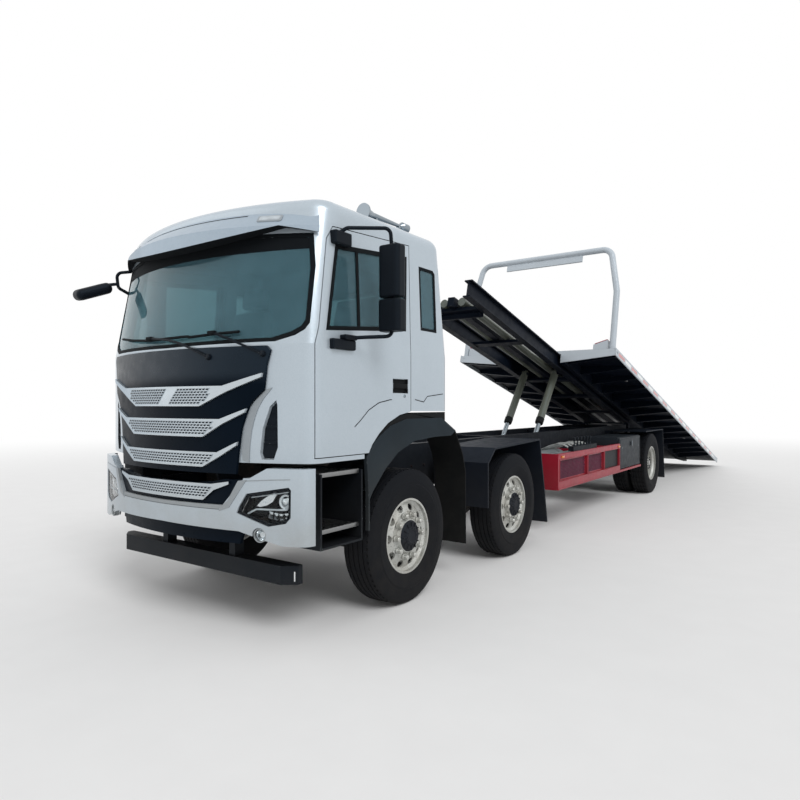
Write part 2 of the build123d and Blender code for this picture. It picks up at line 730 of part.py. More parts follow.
with BuildPart() as bumper:
    add(bumper_shell & front_outline(bumper_outline, 700))
    add(front_outline(grille_notch, 700), mode=Mode.SUBTRACT)
    for side in SIDES:
        add(front_patch(lamp_outline, side), mode=Mode.SUBTRACT)
        with BuildSketch(front_on(-bumper_front - 100)):
            with Locations((side * fog_x, fog_z)):
                Circle(fog_r + 3)
        extrude(amount=-400, mode=Mode.SUBTRACT)
save(bumper, "bumper")

with BuildPart() as front_lamps:
    lamp_skin = bumper_volume(6, bumper_low, bumper_high) - bumper_volume(bumper_t, bumper_low, bumper_high)
    for side in SIDES:
        add(lamp_skin & front_patch(lamp_outline, side, -3))
        with BuildPart(mode=Mode.PRIVATE) as fog:
            with BuildSketch(front_on(-bumper_front - 100)):
                with Locations((side * fog_x, fog_z)):
                    Circle(fog_r)
            extrude(amount=-400)
        add(lamp_skin & fog.part)
save(front_lamps, "front_lamps")

with BuildPart() as front_valance:
    back_skin = bumper_volume(24, 600, bumper_high) - bumper_volume(bumper_t, 600, bumper_high)
    add(back_skin & front_outline(grille_notch, 700, -1)
        & front_outline(notch_panel, 700))
    add(bumper_volume(bumper_t, 600, 760) - bumper_volume(bumper_t + 20, 600, 760)
        & front_outline(valance_outline, 700))
    add((bumper_volume(8, 600, bumper_high) - bumper_volume(24, 600, bumper_high))
        & front_outline(bumper_strip, 700))
save(front_valance, "front_valance")

underrun_half = 985
underrun_station = -1120
underrun_low = 373
underrun_high = 496
with BuildPart() as underrun_bar:
    with BuildSketch(Plane.XY.offset(underrun_low)):
        with BuildLine():
            Polyline((-underrun_half, at(underrun_station + 20)),
                     (-underrun_half + 90, at(underrun_station - 50)),
                     (underrun_half - 90, at(underrun_station - 50)),
                     (underrun_half, at(underrun_station + 20)),
                     (underrun_half, at(underrun_station + 70)), (-underrun_half, at(underrun_station + 70)),
                     close=True)
        make_face()
        fillet(vertices(), 15)
    extrude(amount=underrun_high - underrun_low)
    for side in SIDES:
        with Locations((side * (frame_half - 40), at(underrun_station + 10), underrun_high)):
            Box(60, 80, frame_low - underrun_high, align=ABOVE)
save(underrun_bar, "underrun_bar")

# ---------------------------------------------------------------- cab steps, arches and mudguards
with BuildPart() as cab_steps:
    for side in SIDES:
        # width of each plate in X, Y and Z, and its middle
        plates = [(480, 14, 500, 890, -1035, 850), (480, 14, 500, 890, -614, 850),
                  (14, 435, 500, 657, -825, 850),
                  (430, 407, 18, 888, -825, 1086), (430, 407, 18, 888, -825, 712),
                  (480, 435, 14, 890, -825, 607),
                  (222, 300, 60, 541, -825, 850)]
        for width, length, height, x, station, z in plates:
            with Locations((side * x, at(station), z)):
                Box(width, length, height)
save(cab_steps, "cab_steps")

arch_inner = [(-535, 656), (-535, 880), (-500, 930), (-353, 1076), (-183, 1195), (43, 1270), (339, 1290),
              (600, 1290)]
arch_outer = [(679, 1330), (444, 1446), (-72, 1446), (-290, 1395), (-465, 1298), (-572, 1185), (-551, 927),
              (-551, 656)]
arch_liner = [(600, 1304), (339, 1304), (40, 1284), (-190, 1209), (-363, 1088), (-512, 940)]
with BuildPart() as front_arches:
    for side in SIDES:
        for points, inner_x, outer_x in ((arch_inner + arch_outer, 1112, 1140),
                                         (arch_inner[2:] + arch_liner, 600, 1140)):
            with BuildSketch(across(side * inner_x)):
                with BuildLine():
                    Polyline(*[(at(station), z) for station, z in points], close=True)
                make_face()
            extrude(amount=side * (outer_x - inner_x))
        with Locations((side * (frame_half + 95), at(330), 1265)):
            Box(190, 60, 70)
        with Locations((side * (frame_half + 15), at(330), 1110)):
            Box(30, 60, 320)
save(front_arches, "front_arches")

guard_2 = [(1285, 570), (1303, 570), (1303, 990), (1449, 1120), (2526, 1160), (2660, 590), (2737, 218),
           (2755, 222),
           (2680, 590), (2540, 1176), (1443, 1136), (1285, 1000)]
guard_3 = [(7130, 1090), (8325, 1090), (8380, 700), (8462, 190), (8480, 194), (8398, 700), (8340, 1106),
           (7130, 1106)]
with BuildPart() as mudguards:
    for side in SIDES:
        for points in (guard_2, guard_3):
            with BuildSketch(across(side * 540)):
                with BuildLine():
                    Polyline(*[(at(station), z) for station, z in points], close=True)
                make_face()
            extrude(amount=side * 600)
        for station, z in ((1480, 1112), (2480, 1145), (7180, 1078), (8300, 1078)):
            with Locations((side * 500, at(station), z)):
                Box(140, 40, 40)
save(mudguards, "mudguards")

# ---------------------------------------------------------------- side guards, boxes and tanks
guard_x = 1115
guard_t = 35
guard_low = 540
guard_high = 970
guard_start = 3060
guard_stop = 5565
guard_bays = [(3110, 4080), (4120, 4780), (4820, 5530)]
with BuildPart() as side_guards:
    for side in SIDES:
        with BuildSketch(across(side * guard_x)):
            with Locations((at((guard_start + guard_stop) / 2), (guard_low + guard_high) / 2)):
                Rectangle(guard_stop - guard_start, guard_high - guard_low)
            for start, stop in guard_bays:
                with Locations((at((start + stop) / 2), 772)):
                    Rectangle(stop - start, 255, mode=Mode.SUBTRACT)
        extrude(amount=side * guard_t)
        # recessed panels behind the first two bays
        for start, stop in guard_bays[:2]:
            with Locations((side * (guard_x + 4), at((start + stop) / 2), 772)):
                Box(8, stop - start, 255)
        with Locations((side * (guard_x - 110), at(guard_start + 9), (guard_low + guard_high) / 2)):
            Box(220, 18, guard_high - guard_low)
        for station in (3100, 4650, 5545):
            with Locations((side * (frame_half + guard_x) / 2, at(station), 900)):
                Box(guard_x - frame_half, 30, 60)
        # low rail that carries on under the box
        with Locations((side * (guard_x + guard_t / 2), at(guard_stop + 590), guard_low + 15)):
            Box(guard_t, 1180, 30)
save(side_guards, "side_guards")

box_start = 5572
box_stop = 6730
box_low = 577
box_high = 1058
box_inner_x = 620
box_x = 1112
box_t = 20
box_door_t = 22
with BuildPart() as toolboxes:
    for side in SIDES:
        with Locations((side * (box_inner_x + box_x) / 2, at((box_start + box_stop) / 2),
                        (box_low + box_high) / 2)):
            Box(box_x - box_inner_x, box_stop - box_start, box_high - box_low)
        with Locations((side * ((box_inner_x + box_x) / 2 + box_t), at((box_start + box_stop) / 2),
                        (box_low + box_high) / 2)):
            Box(box_x - box_inner_x, box_stop - box_start - 2 * box_t, box_high - box_low - 2 * box_t,
                mode=Mode.SUBTRACT)
        for station in (box_start + 200, box_stop - 200):
            with Locations((side * (frame_half + box_inner_x) / 2, at(station), 850)):
                Box(box_inner_x - frame_half, 60, 80)
save(toolboxes, "toolboxes")
for side_name, side in side_names:
    with BuildPart() as box_door:
        with Locations((side * (box_x + 5 + box_door_t / 2), at((box_start + box_stop) / 2),
                        (box_low + box_high) / 2)):
            Box(box_door_t, box_stop - box_start - 10, box_high - box_low - 16)
        with Locations((side * (box_x + 5 + box_door_t + 6), at(6196), 945)):
            Box(12, 110, 60)
    save(box_door, f"toolbox_door_{side_name}")

with BuildPart() as tanks:
    # fuel tank on the right, two air tanks on the left
    with BuildSketch(front_on(3250)):
        with Locations((-780, 780)):
            Rectangle(560, 520)
        fillet(vertices(), 110)
    extrude(amount=-1250)
    for station in (3500, 4250):
        with Locations((-(frame_half + 37), at(station), 850)):
            Box(74, 60, 120)
    for x, z in ((640, 820), (930, 820)):
        with Locations((x, at(3820), z)):
            Cylinder(130, 1000, rotation=(90, 0, 0))
    with Locations((600, at(3820), 700)):
        Box(900 - 560, 60, 60)
    with Locations((740, at(3820), 680)):
        Box(620, 60, 30)
save(tanks, "tanks")

lever_count = 6
lever_pitch = 120
with BuildPart() as control_levers:
    for side in SIDES:
        with Locations((side * (guard_x - 10), at(4050), guard_high)):
            Box(70, 900, 60, align=ABOVE)
        for index in range(lever_count):
            with Locations((side * (guard_x - 20), at(3750 + index * lever_pitch), guard_high + 60)):
                Cylinder(7, 90, align=ABOVE)
            with Locations((side * (guard_x - 20), at(3750 + index * lever_pitch), guard_high + 155)):
                Sphere(17)
save(control_levers, "control_levers")

with BuildPart() as tail_lamps:
    for side in SIDES:
        with Locations((side * 690, at(8500), 700)):
            Box(420, 60, 150, align=ABOVE)
        with Locations((side * (frame_half + 30), at(8450), 740)):
            Box(60, 90, 60, align=ABOVE)
    with Locations((0, at(8520), 560)):
        Box(1900, 70, 90)
    for side in SIDES:
        with Locations((side * 380, at(8495), 600)):
            Box(60, 30, 150, align=ABOVE)
save(tail_lamps, "tail_lamps")

# ---------------------------------------------------------------- cab's inside
seat_x = 640
deck_of_cab = arch_top_z + 40
with BuildPart() as seats:
    for side in SIDES:
        with Locations((side * seat_x, at(-250), deck_of_cab)):
            Box(380, 360, 200, align=ABOVE)
        with BuildSketch(across(side * seat_x - 250)):
            with BuildLine():
                Polyline((at(-540), deck_of_cab + 200), (at(-560), deck_of_cab + 320),
                         (at(-150), deck_of_cab + 300),
                         (at(-60), deck_of_cab + 900), (at(-50), deck_of_cab + 1120),
                         (at(30), deck_of_cab + 1120),
                         (at(45), deck_of_cab + 900), (at(-10), deck_of_cab + 200), close=True)
            make_face()
            fillet(vertices(), 30)
        extrude(amount=500)
    with Locations((0, at(250), deck_of_cab)):
        Box(1900, 340, 330, align=ABOVE)
save(seats, "seats")

with BuildPart() as dashboard:
    with BuildSketch(across(-1020)):
        with BuildLine():
            Polyline((at(-1150), 1500), (at(-1150), 1880), (at(-1110), 1930), (at(-930), 1900),
                     (at(-850), 1800),
                     (at(-880), 1660), (at(-960), 1500), close=True)
        make_face()
        fillet(vertices(), 25)
    extrude(amount=2040)
    add(inner_cab - foot_block.part, mode=Mode.INTERSECT)
    # column and wheel in front of the right-hand seat
    column = Plane(origin=(-seat_x, at(-900), 1720), x_dir=(1, 0, 0), z_dir=(0, 0.55, 0.83))
    with BuildSketch(column):
        Circle(35)
    extrude(amount=190)
    with Locations(column.offset(200)):
        Torus(225, 16)
        Cylinder(60, 40)
        for turn in (0, 120, 240):
            with Locations(Location((0, 0, 0), (0, 0, turn + 90))):
                with Locations((110, 0, 0)):
                    Box(220, 36, 16)
save(dashboard, "dashboard")

# ---------------------------------------------------------------- horn and mirrors
horn_x = 880
horn_z = 3045
with BuildPart() as air_horn:
    with BuildSketch(across(horn_x)):
        with BuildLine():
            Polyline((at(-290), horn_z), (at(-290), horn_z + 66), (at(-278), horn_z + 66),
                     (at(-240), horn_z + 40),
                     (at(-170), horn_z + 24), (at(200), horn_z + 14), (at(225), horn_z + 38),
                     (at(300), horn_z + 38),
                     (at(310), horn_z), close=True)
        make_face()
    revolve(axis=Axis((horn_x, at(0), horn_z), (0, 1, 0)))
    for station in (-130, 180):
        with Locations((horn_x, at(station), (roof_z + horn_z) / 2 - 4)):
            Box(30, 24, horn_z - roof_z - 8)
save(air_horn, "air_horn")

tube_r = 13


def tube(path_points):
    """Round tube with rounded corners through a few points."""
    with BuildPart() as bent:
        with BuildLine() as path:
            FilletPolyline(*path_points, radius=45)
        with BuildSketch(Plane(origin=path.line @ 0, z_dir=path.line % 0)):
            Circle(tube_r)
        sweep()
    return bent.part


mirror_y = -590
mirror_x = 1376
for side_name, side in side_names:
    with BuildPart() as mirror:
        for low, high, width in ((2290, 2649, 172), (2057, 2278, 180)):
            with BuildSketch(Plane.XY.offset(low)) as shell:
                with Locations((side * mirror_x, at(mirror_y))):
                    Rectangle(width, 112)
                fillet(shell.vertices(), 34)
            extrude(amount=high - low)
        fillet(mirror.faces().filter_by(Axis.Z).edges(), 14)
        add(tube([(side * 1130, at(-860), 2715), (side * 1170, at(-820), 2750),
                  (side * mirror_x, at(mirror_y - 20), 2762),
                  (side * mirror_x, at(mirror_y), 2600)]))
        add(tube([(side * mirror_x, at(mirror_y), 2320), (side * mirror_x, at(mirror_y), 2025),
                  (side * 1180, at(-780), 2010), (side * 1150, at(-820), 2008)]))
        # brackets on the door: upper knuckle, lower pad and its block
        for length, height, x, station, z in ((170, 92, 1165, -845, 2676), (235, 70, 1185, -858, 1959),
                                              (130, 34, 1200, -805, 2010)):
            with BuildPart(mode=Mode.PRIVATE) as pad:
                with Locations((side * (x - 50), at(station), z)):
                    Box(100, length, height)
                fillet(pad.edges(), 12)
            add(pad.part)
        add(outer_cab, mode=Mode.SUBTRACT)
    save(mirror, f"mirror_{side_name}")

# front-view mirror on a stay at the right-hand corner
with BuildPart() as front_mirrors:
    add(tube([(-1000, at(-1010), 2690), (-1075, at(-1150), 2660), (-1085, at(-1130), 2540),
              (-1060, at(-1000), 2480)]))
    add(tube([(-1085, at(-1120), 2575), (-1120, at(-1190), 2560), (-1150, at(-1250), 2530)]))
    with BuildPart(mode=Mode.PRIVATE) as head:
        Box(176, 290, 92)
        fillet(head.edges(), 44)
    add(Location((-1175, at(-1300), 2492), (22, 0, -14)) * head.part)
    add(outer_cab, mode=Mode.SUBTRACT)
    add(roof_visor.part, mode=Mode.SUBTRACT)
save(front_mirrors, "front_mirrors")

# ---------------------------------------------------------------- tilt frame
ear_x = bed_rail_half - bed_rail_w / 2
web_t = 12
flange_t = 16
with BuildPart() as tilt_frame:
    for side in SIDES:
        with BuildSketch(bed_section(-100)):
            with Locations((side * ear_x, bed_rail_low + bed_rail_h / 2)):
                Rectangle(bed_rail_w, bed_rail_h)
                for hollow in (-1, 1):
                    with Locations((hollow * (bed_rail_w + web_t) / 4, 0)):
                        Rectangle((bed_rail_w - web_t) / 2, bed_rail_h - 2 * flange_t, mode=Mode.SUBTRACT)
        extrude(amount=bed_rail_front_s + 100)
        # ear round the tilt shaft
        with BuildSketch(across(side * ear_x - 45)):
            ear_top = bed_point(90, bed_rail_low + 5)
            ear_back = bed_point(-90, bed_rail_low + 5)
            with BuildLine():
                Polyline(ear_top, ear_back, (pivot_y + 50, pivot_z), (pivot_y - 50, pivot_z), close=True)
            make_face()
            with Locations((pivot_y, pivot_z)):
                Circle(56)
        extrude(amount=90)
        with Locations((side * ear_x, pivot_y, pivot_z)):
            Cylinder(pivot_shaft_r + pin_play, 120, rotation=(0, 90, 0), mode=Mode.SUBTRACT)
    # cross members: place along the bed, length along it, bottom and height square to it
    for s, length, low, height in ((6200, 120, 190, 40), (4990, 120, 185, 40), (3150, 120, 180, 44),
                                   (2100, 120, 180, 44), (1000, 120, bed_rail_low, 26),
                                   (0, 120, bed_rail_low, 26)):
        with BuildSketch(BED.offset(low)):
            with Locations((0, -s)):
                Rectangle(2 * (bed_rail_half - bed_rail_w / 2), length)
        extrude(amount=height)
    tube_y, tube_z = bed_point(6127, 182)
    with Locations((0, tube_y, tube_z)):
        Cylinder(50, 640, rotation=(0, 90, 0))
    # middle beam between the slide cylinders
    with BuildSketch(BED.offset(224)):
        with Locations((0, -4200)):
            Rectangle(90, 4300)
    extrude(amount=110)
    # pins and lugs of the lift cylinders, inside the rails
    for side in SIDES:
        pin_y, pin_z = bed_point(lift_pin_s, lift_pin_n)
        with Locations((side * (lift_x + 40), pin_y, pin_z)):
            Cylinder(25, 170, rotation=(0, 90, 0))
save(tilt_frame, "tilt_frame")

slide_x = 125
slide_n = 285
slide_rear_s = 1950
slide_front_s = 6300
slide_r = 52
slide_bore_r = 42
slide_rod_r = 30
slide_stroke = 4000
with BuildPart() as slide_cylinders:
    for side in SIDES:
        y, z = bed_point(slide_rear_s, slide_n)
        gland = Plane(origin=(side * slide_x, y, z), x_dir=(1, 0, 0), z_dir=(0, -cos_bed, sin_bed))
        with BuildSketch(gland):
            Circle(slide_r)
        extrude(amount=slide_front_s - slide_rear_s)
        with BuildSketch(gland.offset(60)):
            Circle(slide_bore_r)
        extrude(amount=slide_front_s - slide_rear_s - 120, mode=Mode.SUBTRACT)
        with BuildSketch(gland):
            Circle(slide_rod_r + 1)
        extrude(amount=60, mode=Mode.SUBTRACT)
save(slide_cylinders, "slide_cylinders")

# ---------------------------------------------------------------- platform
outrigger_pitch = 560
outrigger_count = 15
sill_x = bed_rail_half + slide_gap + 40
tail_taper_s = -4250
lug_s = slide_rear_s - slide_stroke - 150
deck_half = deck_width / 2
tie_x = 1000                   # lashing holes through the deck
tie_r = 25
tie_places = (2350, -2290)

with BuildPart() as deck:
    with BuildSketch(BED.offset(deck_low)):
        with Locations((0, -(deck_front_s + tail_s) / 2)):
            Rectangle(deck_width, deck_length)
        with Locations(*[(side * tie_x, -s) for side in SIDES for s in tie_places]):
            Circle(tie_r, mode=Mode.SUBTRACT)
    extrude(amount=deck_t)
    # load floor behind the winch
    with BuildSketch(BED.offset(deck_top)):
        with Locations((0, -(deck_front_s - floor_margin + tail_s) / 2)):
            Rectangle(deck_width - 20, deck_length - floor_margin)
        with Locations(*[(side * tie_x, -s) for side in SIDES for s in tie_places]):
            Circle(tie_r, mode=Mode.SUBTRACT)
    extrude(amount=floor_t)
    # long members outside the bed rails, tapered to the tail
    for side in SIDES:
        with BuildSketch(across(side * sill_x - 40)):
            with BuildLine():
                Polyline(bed_point(deck_front_s, deck_low), bed_point(deck_front_s, deck_low - sill_depth),
                         bed_point(tail_taper_s, deck_low - sill_depth),
                         bed_point(tail_s + 10, deck_low - 45),
                         bed_point(tail_s + 10, deck_low), close=True)
            make_face()
        extrude(amount=80)
    # outriggers, deep at the long members and shallow at the sides
    for index in range(outrigger_count):
        s = deck_front_s - 120 - index * outrigger_pitch
        for side in SIDES:
            with BuildSketch(bed_section(s - 25)):
                with BuildLine():
                    Polyline((side * sill_x, deck_low), (side * sill_x, deck_low - sill_depth + 20),
                             (side * (deck_half - 20), deck_low - 50), (side * (deck_half - 20), deck_low),
                             close=True)
                make_face()
            extrude(amount=50)
    # lugs of the slide cylinders' rods
    for side in SIDES:
        with BuildSketch(BED.offset(slide_n - 50)):
            with Locations((side * slide_x, -lug_s)):
                Rectangle(90, 60)
        extrude(amount=deck_low - slide_n + 50)
save(deck, "deck")

edge_t = 14
edge_low = 335
edge_high = 445
plate_x = bed_rail_half + slide_gap
with BuildPart() as deck_edges:
    for side in SIDES:
        with BuildSketch(BED.offset(edge_low)):
            with Locations((side * (deck_half + edge_t / 2), -(deck_front_s + tail_s) / 2 - 20)):
                Rectangle(edge_t, deck_length - 40)
        extrude(amount=edge_high - edge_low)
    # tapered plate across the front
    with BuildSketch(bed_section(deck_front_s)):
        with BuildLine():
            Polyline((-deck_half, deck_top + 40), (deck_half, deck_top + 40), (deck_half, deck_low - 55),
                     (plate_x, deck_low - 135), (plate_x, deck_low), (-plate_x, deck_low),
                     (-plate_x, deck_low - 135), (-deck_half, deck_low - 55), close=True)
        make_face()
    extrude(amount=12)
    # low box with a wedge on it at each front corner
    for side in SIDES:
        with BuildSketch(bed_section(deck_front_s - 330)):
            with BuildLine():
                Polyline((side * 925, deck_top), (side * 1130, deck_top), (side * 1130, deck_top + 185),
                         (side * 940, deck_top + 125), (side * 925, deck_top + 125), close=True)
            make_face()
        extrude(amount=310)
save(deck_edges, "deck_edges")

hoop_r = 45
hoop_plane = bed_section(deck_front_s - 70)
with BuildPart() as hoop:
    with BuildLine(hoop_plane) as hoop_path:
        FilletPolyline((-1190, deck_top), (-1190, deck_top + 950), (-1060, deck_top + 1640),
                       (1060, deck_top + 1640),
                       (1190, deck_top + 950), (1190, deck_top), radius=160)
    with BuildSketch(Plane(origin=hoop_path.line @ 0, z_dir=hoop_path.line % 0)):
        Circle(hoop_r)
    sweep()
    with BuildSketch(hoop_plane.offset(-12)):
        with Locations((0, deck_top + 1640 - hoop_r - 50)):
            Rectangle(1260, 110)
    extrude(amount=24)
save(hoop, "hoop")

with BuildPart() as winch:
    with BuildPart(BED):
        with Locations((-220, -(deck_front_s - 420), deck_top)):
            Box(460, 300, 14, align=ABOVE)
        for end in (-1, 1):
            with Locations((-220 + end * 205, -(deck_front_s - 420), deck_top + 14)):
                Box(30, 240, 190, align=ABOVE)
        with Locations((-220, -(deck_front_s - 420), deck_top + 120)):
            Cylinder(75, 400, rotation=(0, 90, 0))
save(winch, "winch")

with BuildPart() as slide_rods:
    for side in SIDES:
        y, z = bed_point(lug_s + 30, slide_n)
        with BuildSketch(Plane(origin=(side * slide_x, y, z), x_dir=(1, 0, 0), z_dir=(0, -cos_bed, sin_bed))):
            Circle(slide_rod_r)
        extrude(amount=slide_stroke + 320)
save(slide_rods, "slide_rods")

# ---------------------------------------------------------------- lift cylinders
lift_pin_y, lift_pin_z = bed_point(lift_pin_s, lift_pin_n)
lift_base_y = at(lift_base_station)
lift_run = Vector(0, lift_base_y - lift_pin_y, lift_base_z - lift_pin_z)
lift_length = lift_run.length
barrel_length = 980
barrel_r = 55
barrel_bore_r = 46
lift_rod_r = 32
eye_r = 50
with BuildPart() as lift_barrels:
    for side in SIDES:
        run = Plane(origin=(side * lift_x, lift_pin_y, lift_pin_z), x_dir=(1, 0, 0), z_dir=lift_run)
        with BuildSketch(run.offset(40)):
            Circle(barrel_r)
        extrude(amount=barrel_length - 40)
        with BuildSketch(run.offset(90)):
            Circle(barrel_bore_r)
        extrude(amount=barrel_length - 130, mode=Mode.SUBTRACT)
        with BuildSketch(run.offset(barrel_length - 60)):
            Circle(lift_rod_r + 1)
        extrude(amount=60, mode=Mode.SUBTRACT)
        with Locations((side * lift_x, lift_pin_y, lift_pin_z)):
            Cylinder(eye_r, 70, rotation=(0, 90, 0))
            Cylinder(25 + pin_play, 90, rotation=(0, 90, 0), mode=Mode.SUBTRACT)
save(lift_barrels, "lift_barrels")

with BuildPart() as lift_rods:
    for side in SIDES:
        foot = Plane(origin=(side * lift_x, lift_base_y, lift_base_z), x_dir=(1, 0, 0), z_dir=-lift_run)
        with BuildSketch(foot.offset(30)):
            Circle(lift_rod_r)
        extrude(amount=lift_length - barrel_length + 120)
        with BuildSketch(foot.offset(lift_length - barrel_length + 90)):
            Circle(barrel_bore_r - 2)
        extrude(amount=60)
        with Locations((side * lift_x, lift_base_y, lift_base_z)):
            Cylinder(eye_r, 90, rotation=(0, 90, 0))
save(lift_rods, "lift_rods")
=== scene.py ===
"""Flatbed tow truck with its deck slid back: finishes, tyres, grille, lamps, trim and cabin."""
import math

import bmesh
import bpy
from bpy.props import FloatProperty, FloatVectorProperty, IntProperty, PointerProperty
from mathutils import Matrix, Vector
from mathutils.bvhtree import BVHTree


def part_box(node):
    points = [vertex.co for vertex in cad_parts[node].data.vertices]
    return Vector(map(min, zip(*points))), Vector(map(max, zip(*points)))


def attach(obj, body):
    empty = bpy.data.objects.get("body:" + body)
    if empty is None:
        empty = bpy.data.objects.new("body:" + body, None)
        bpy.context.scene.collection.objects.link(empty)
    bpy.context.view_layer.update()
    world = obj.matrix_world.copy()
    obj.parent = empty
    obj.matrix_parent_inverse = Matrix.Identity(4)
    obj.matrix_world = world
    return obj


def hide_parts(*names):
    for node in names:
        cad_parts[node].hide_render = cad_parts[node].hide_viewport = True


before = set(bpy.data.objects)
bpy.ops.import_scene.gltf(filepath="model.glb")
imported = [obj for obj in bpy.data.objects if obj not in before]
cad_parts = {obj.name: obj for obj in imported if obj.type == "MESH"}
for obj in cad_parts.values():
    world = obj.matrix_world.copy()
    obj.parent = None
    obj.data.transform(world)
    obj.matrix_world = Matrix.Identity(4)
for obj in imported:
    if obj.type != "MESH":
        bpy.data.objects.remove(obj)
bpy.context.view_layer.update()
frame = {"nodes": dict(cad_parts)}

bl_info = {
    "name": "Flatbed Tow Truck",
    "version": (1, 0, 0),
    "blender": (4, 5, 0),
    "location": "3D View > Sidebar > Tow Truck",
    "description": "Dresses the packed tow truck with its finishes, tyres, grille, lamps, trim and cabin",
    "category": "Object",
}

NODES = frame["nodes"]
SIDES = (("left", 1), ("right", -1))
FORWARD = (0, -1, 0)
BACKWARD = (0, 1, 0)


# ---------------------------------------------------------------- places, in metres
def middle(node):
    low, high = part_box(node)
    return (low + high) / 2


AXLE_1 = middle("tyre_1_left").y
AXLE_2 = middle("tyre_2_left").y
AXLE_3 = middle("tyres_3_left").y
HUB_Z = middle("tyre_1_left").z
STEER_X = middle("tyre_1_left").x
TWIN_X = (1.0, 0.69)
BED_ANGLE = math.radians(14.05)
PIVOT_Y = AXLE_1 + 8.608
PIVOT_Z = 1.0
DECK_TOP = 0.393
FLOOR_TOP = 0.397
DECK_FRONT = 3.857
DECK_TAIL = -5.143
FACE_R = 2.461                 # cab front's radius in plan
FACE_Y = AXLE_1 - 1.405
BELT_Z = 1.95
RAKE = 0.19                    # the screen leans back this far per metre
BUMPER_R = 2.7
BUMPER_Y = AXLE_1 - 1.45


def at(station):
    """Y of a station, in metres behind the front axle."""
    return AXLE_1 + station


def cab_face(x, proud=0.0):
    """Y of the cab's front at x, up to the belt."""
    radius = FACE_R + proud
    return FACE_Y - proud + radius - math.sqrt(radius ** 2 - x ** 2)


def bumper_face(x, proud=0.0):
    radius = BUMPER_R + proud
    return BUMPER_Y - proud + radius - math.sqrt(radius ** 2 - x ** 2)


def bed_matrix(x, s, n):
    """Place on the bed: local x across, y down the bed to the rear, z square to the bed."""
    turn = Matrix.Rotation(-BED_ANGLE, 4, "X")
    pivot = Matrix.Translation((0, PIVOT_Y, PIVOT_Z))
    return pivot @ turn @ Matrix.Translation((x, -s, n))


def facing(point, forward, up=(0, 0, 1)):
    """Place at a point whose local z looks along forward and whose local y is nearest up."""
    z_axis = Vector(forward).normalized()
    x_axis = Vector(up).cross(z_axis).normalized()
    y_axis = z_axis.cross(x_axis)
    turn = Matrix((x_axis, y_axis, z_axis)).transposed().to_4x4()
    return Matrix.Translation(point) @ turn


_trees = {}


def tree_of(node):
    """Search tree of a CAD node's surface."""
    if node not in _trees:
        mesh = NODES[node].data
        points = [v.co for v in mesh.vertices]
        faces = [tuple(p.vertices) for p in mesh.polygons]
        _trees[node] = BVHTree.FromPolygons(points, faces)
    return _trees[node]


def surface(node, point, direction):
    """Where a ray meets a CAD node, or the nearest place on it."""
    hit = tree_of(node).ray_cast(Vector(point), Vector(direction))[0]
    return hit or tree_of(node).find_nearest(Vector(point))[0]


def front_of(node, x, z, proud=0.0):
    """Place on a node's front, seen from ahead at x and z."""
    hit = surface(node, (x, at(-3.0), z), BACKWARD)
    return Vector((x, hit.y - proud, z))


def side_of(node, side, station, z, proud=0.0):
    """Place on a node's outer side at a station and height."""
    hit = surface(node, (side * 2.5, at(station), z), (-side, 0, 0))
    return Vector((hit.x + side * proud, at(station), z))


# ---------------------------------------------------------------- meshes
def added(bm, old):
    """The vertices that weren't there before."""
    return [v for v in bm.verts if v not in old]


def vertices(geom):
    return [each for each in geom if isinstance(each, bmesh.types.BMVert)]


def soften_edges(bm, verts, size, segments=2):
    """Rounds the sharp edges of the given vertices."""
    inside = set(verts)
    edges = [e for e in bm.edges if e.verts[0] in inside and e.verts[1] in inside
             and len(e.link_faces) == 2 and e.calc_face_angle(0) > 0.5]
    bmesh.ops.bevel(bm, geom=edges, offset=size, offset_type="OFFSET", segments=segments,
                    profile=0.5, affect="EDGES", clamp_overlap=True, material=-1)


def block(bm, size, place, soften=0.0, segments=2):
    """A block with rounded edges; place is a matrix or a point."""
    old = set(bm.verts)
    if not isinstance(place, Matrix):
        place = Matrix.Translation(place)
    bmesh.ops.create_cube(bm, size=1.0)
    bmesh.ops.scale(bm, vec=size, verts=added(bm, old))
    if soften:
        soften_edges(bm, added(bm, old), soften, segments)
    bmesh.ops.transform(bm, matrix=place, verts=added(bm, old))
    return added(bm, old)


def rod(bm, start, end, radius, segments):
    """A round bar between two points."""
    old = set(bm.verts)
    start, end = Vector(start), Vector(end)
    run = end - start
    up = (0, 0, 1) if abs(run.normalized().z) < 0.9 else BACKWARD
    place = facing((start + end) / 2, run, up)
    bmesh.ops.create_cone(bm, cap_ends=True, segments=segments, radius1=radius, radius2=radius,
                          depth=run.length)
    bmesh.ops.transform(bm, matrix=place, verts=added(bm, old))
    return added(bm, old)


def lathe(bm, profile, place, steps=48):
    """A turned shape: profile is radius and height round the place's local z."""
    old = set(bm.verts)
    points = [bm.verts.new((radius, 0, height)) for radius, height in profile]
    edges = [bm.edges.new(pair) for pair in zip(points, points[1:])]
    bmesh.ops.spin(bm, geom=points + edges, cent=(0, 0, 0), axis=(0, 0, 1), dvec=(0, 0, 0),
                   angle=math.tau, steps=steps, use_merge=True, use_duplicate=False)
    made = added(bm, old)
    bmesh.ops.remove_doubles(bm, verts=made, dist=1e-6)
    made = added(bm, old)
    bmesh.ops.transform(bm, matrix=place, verts=made)
    return made


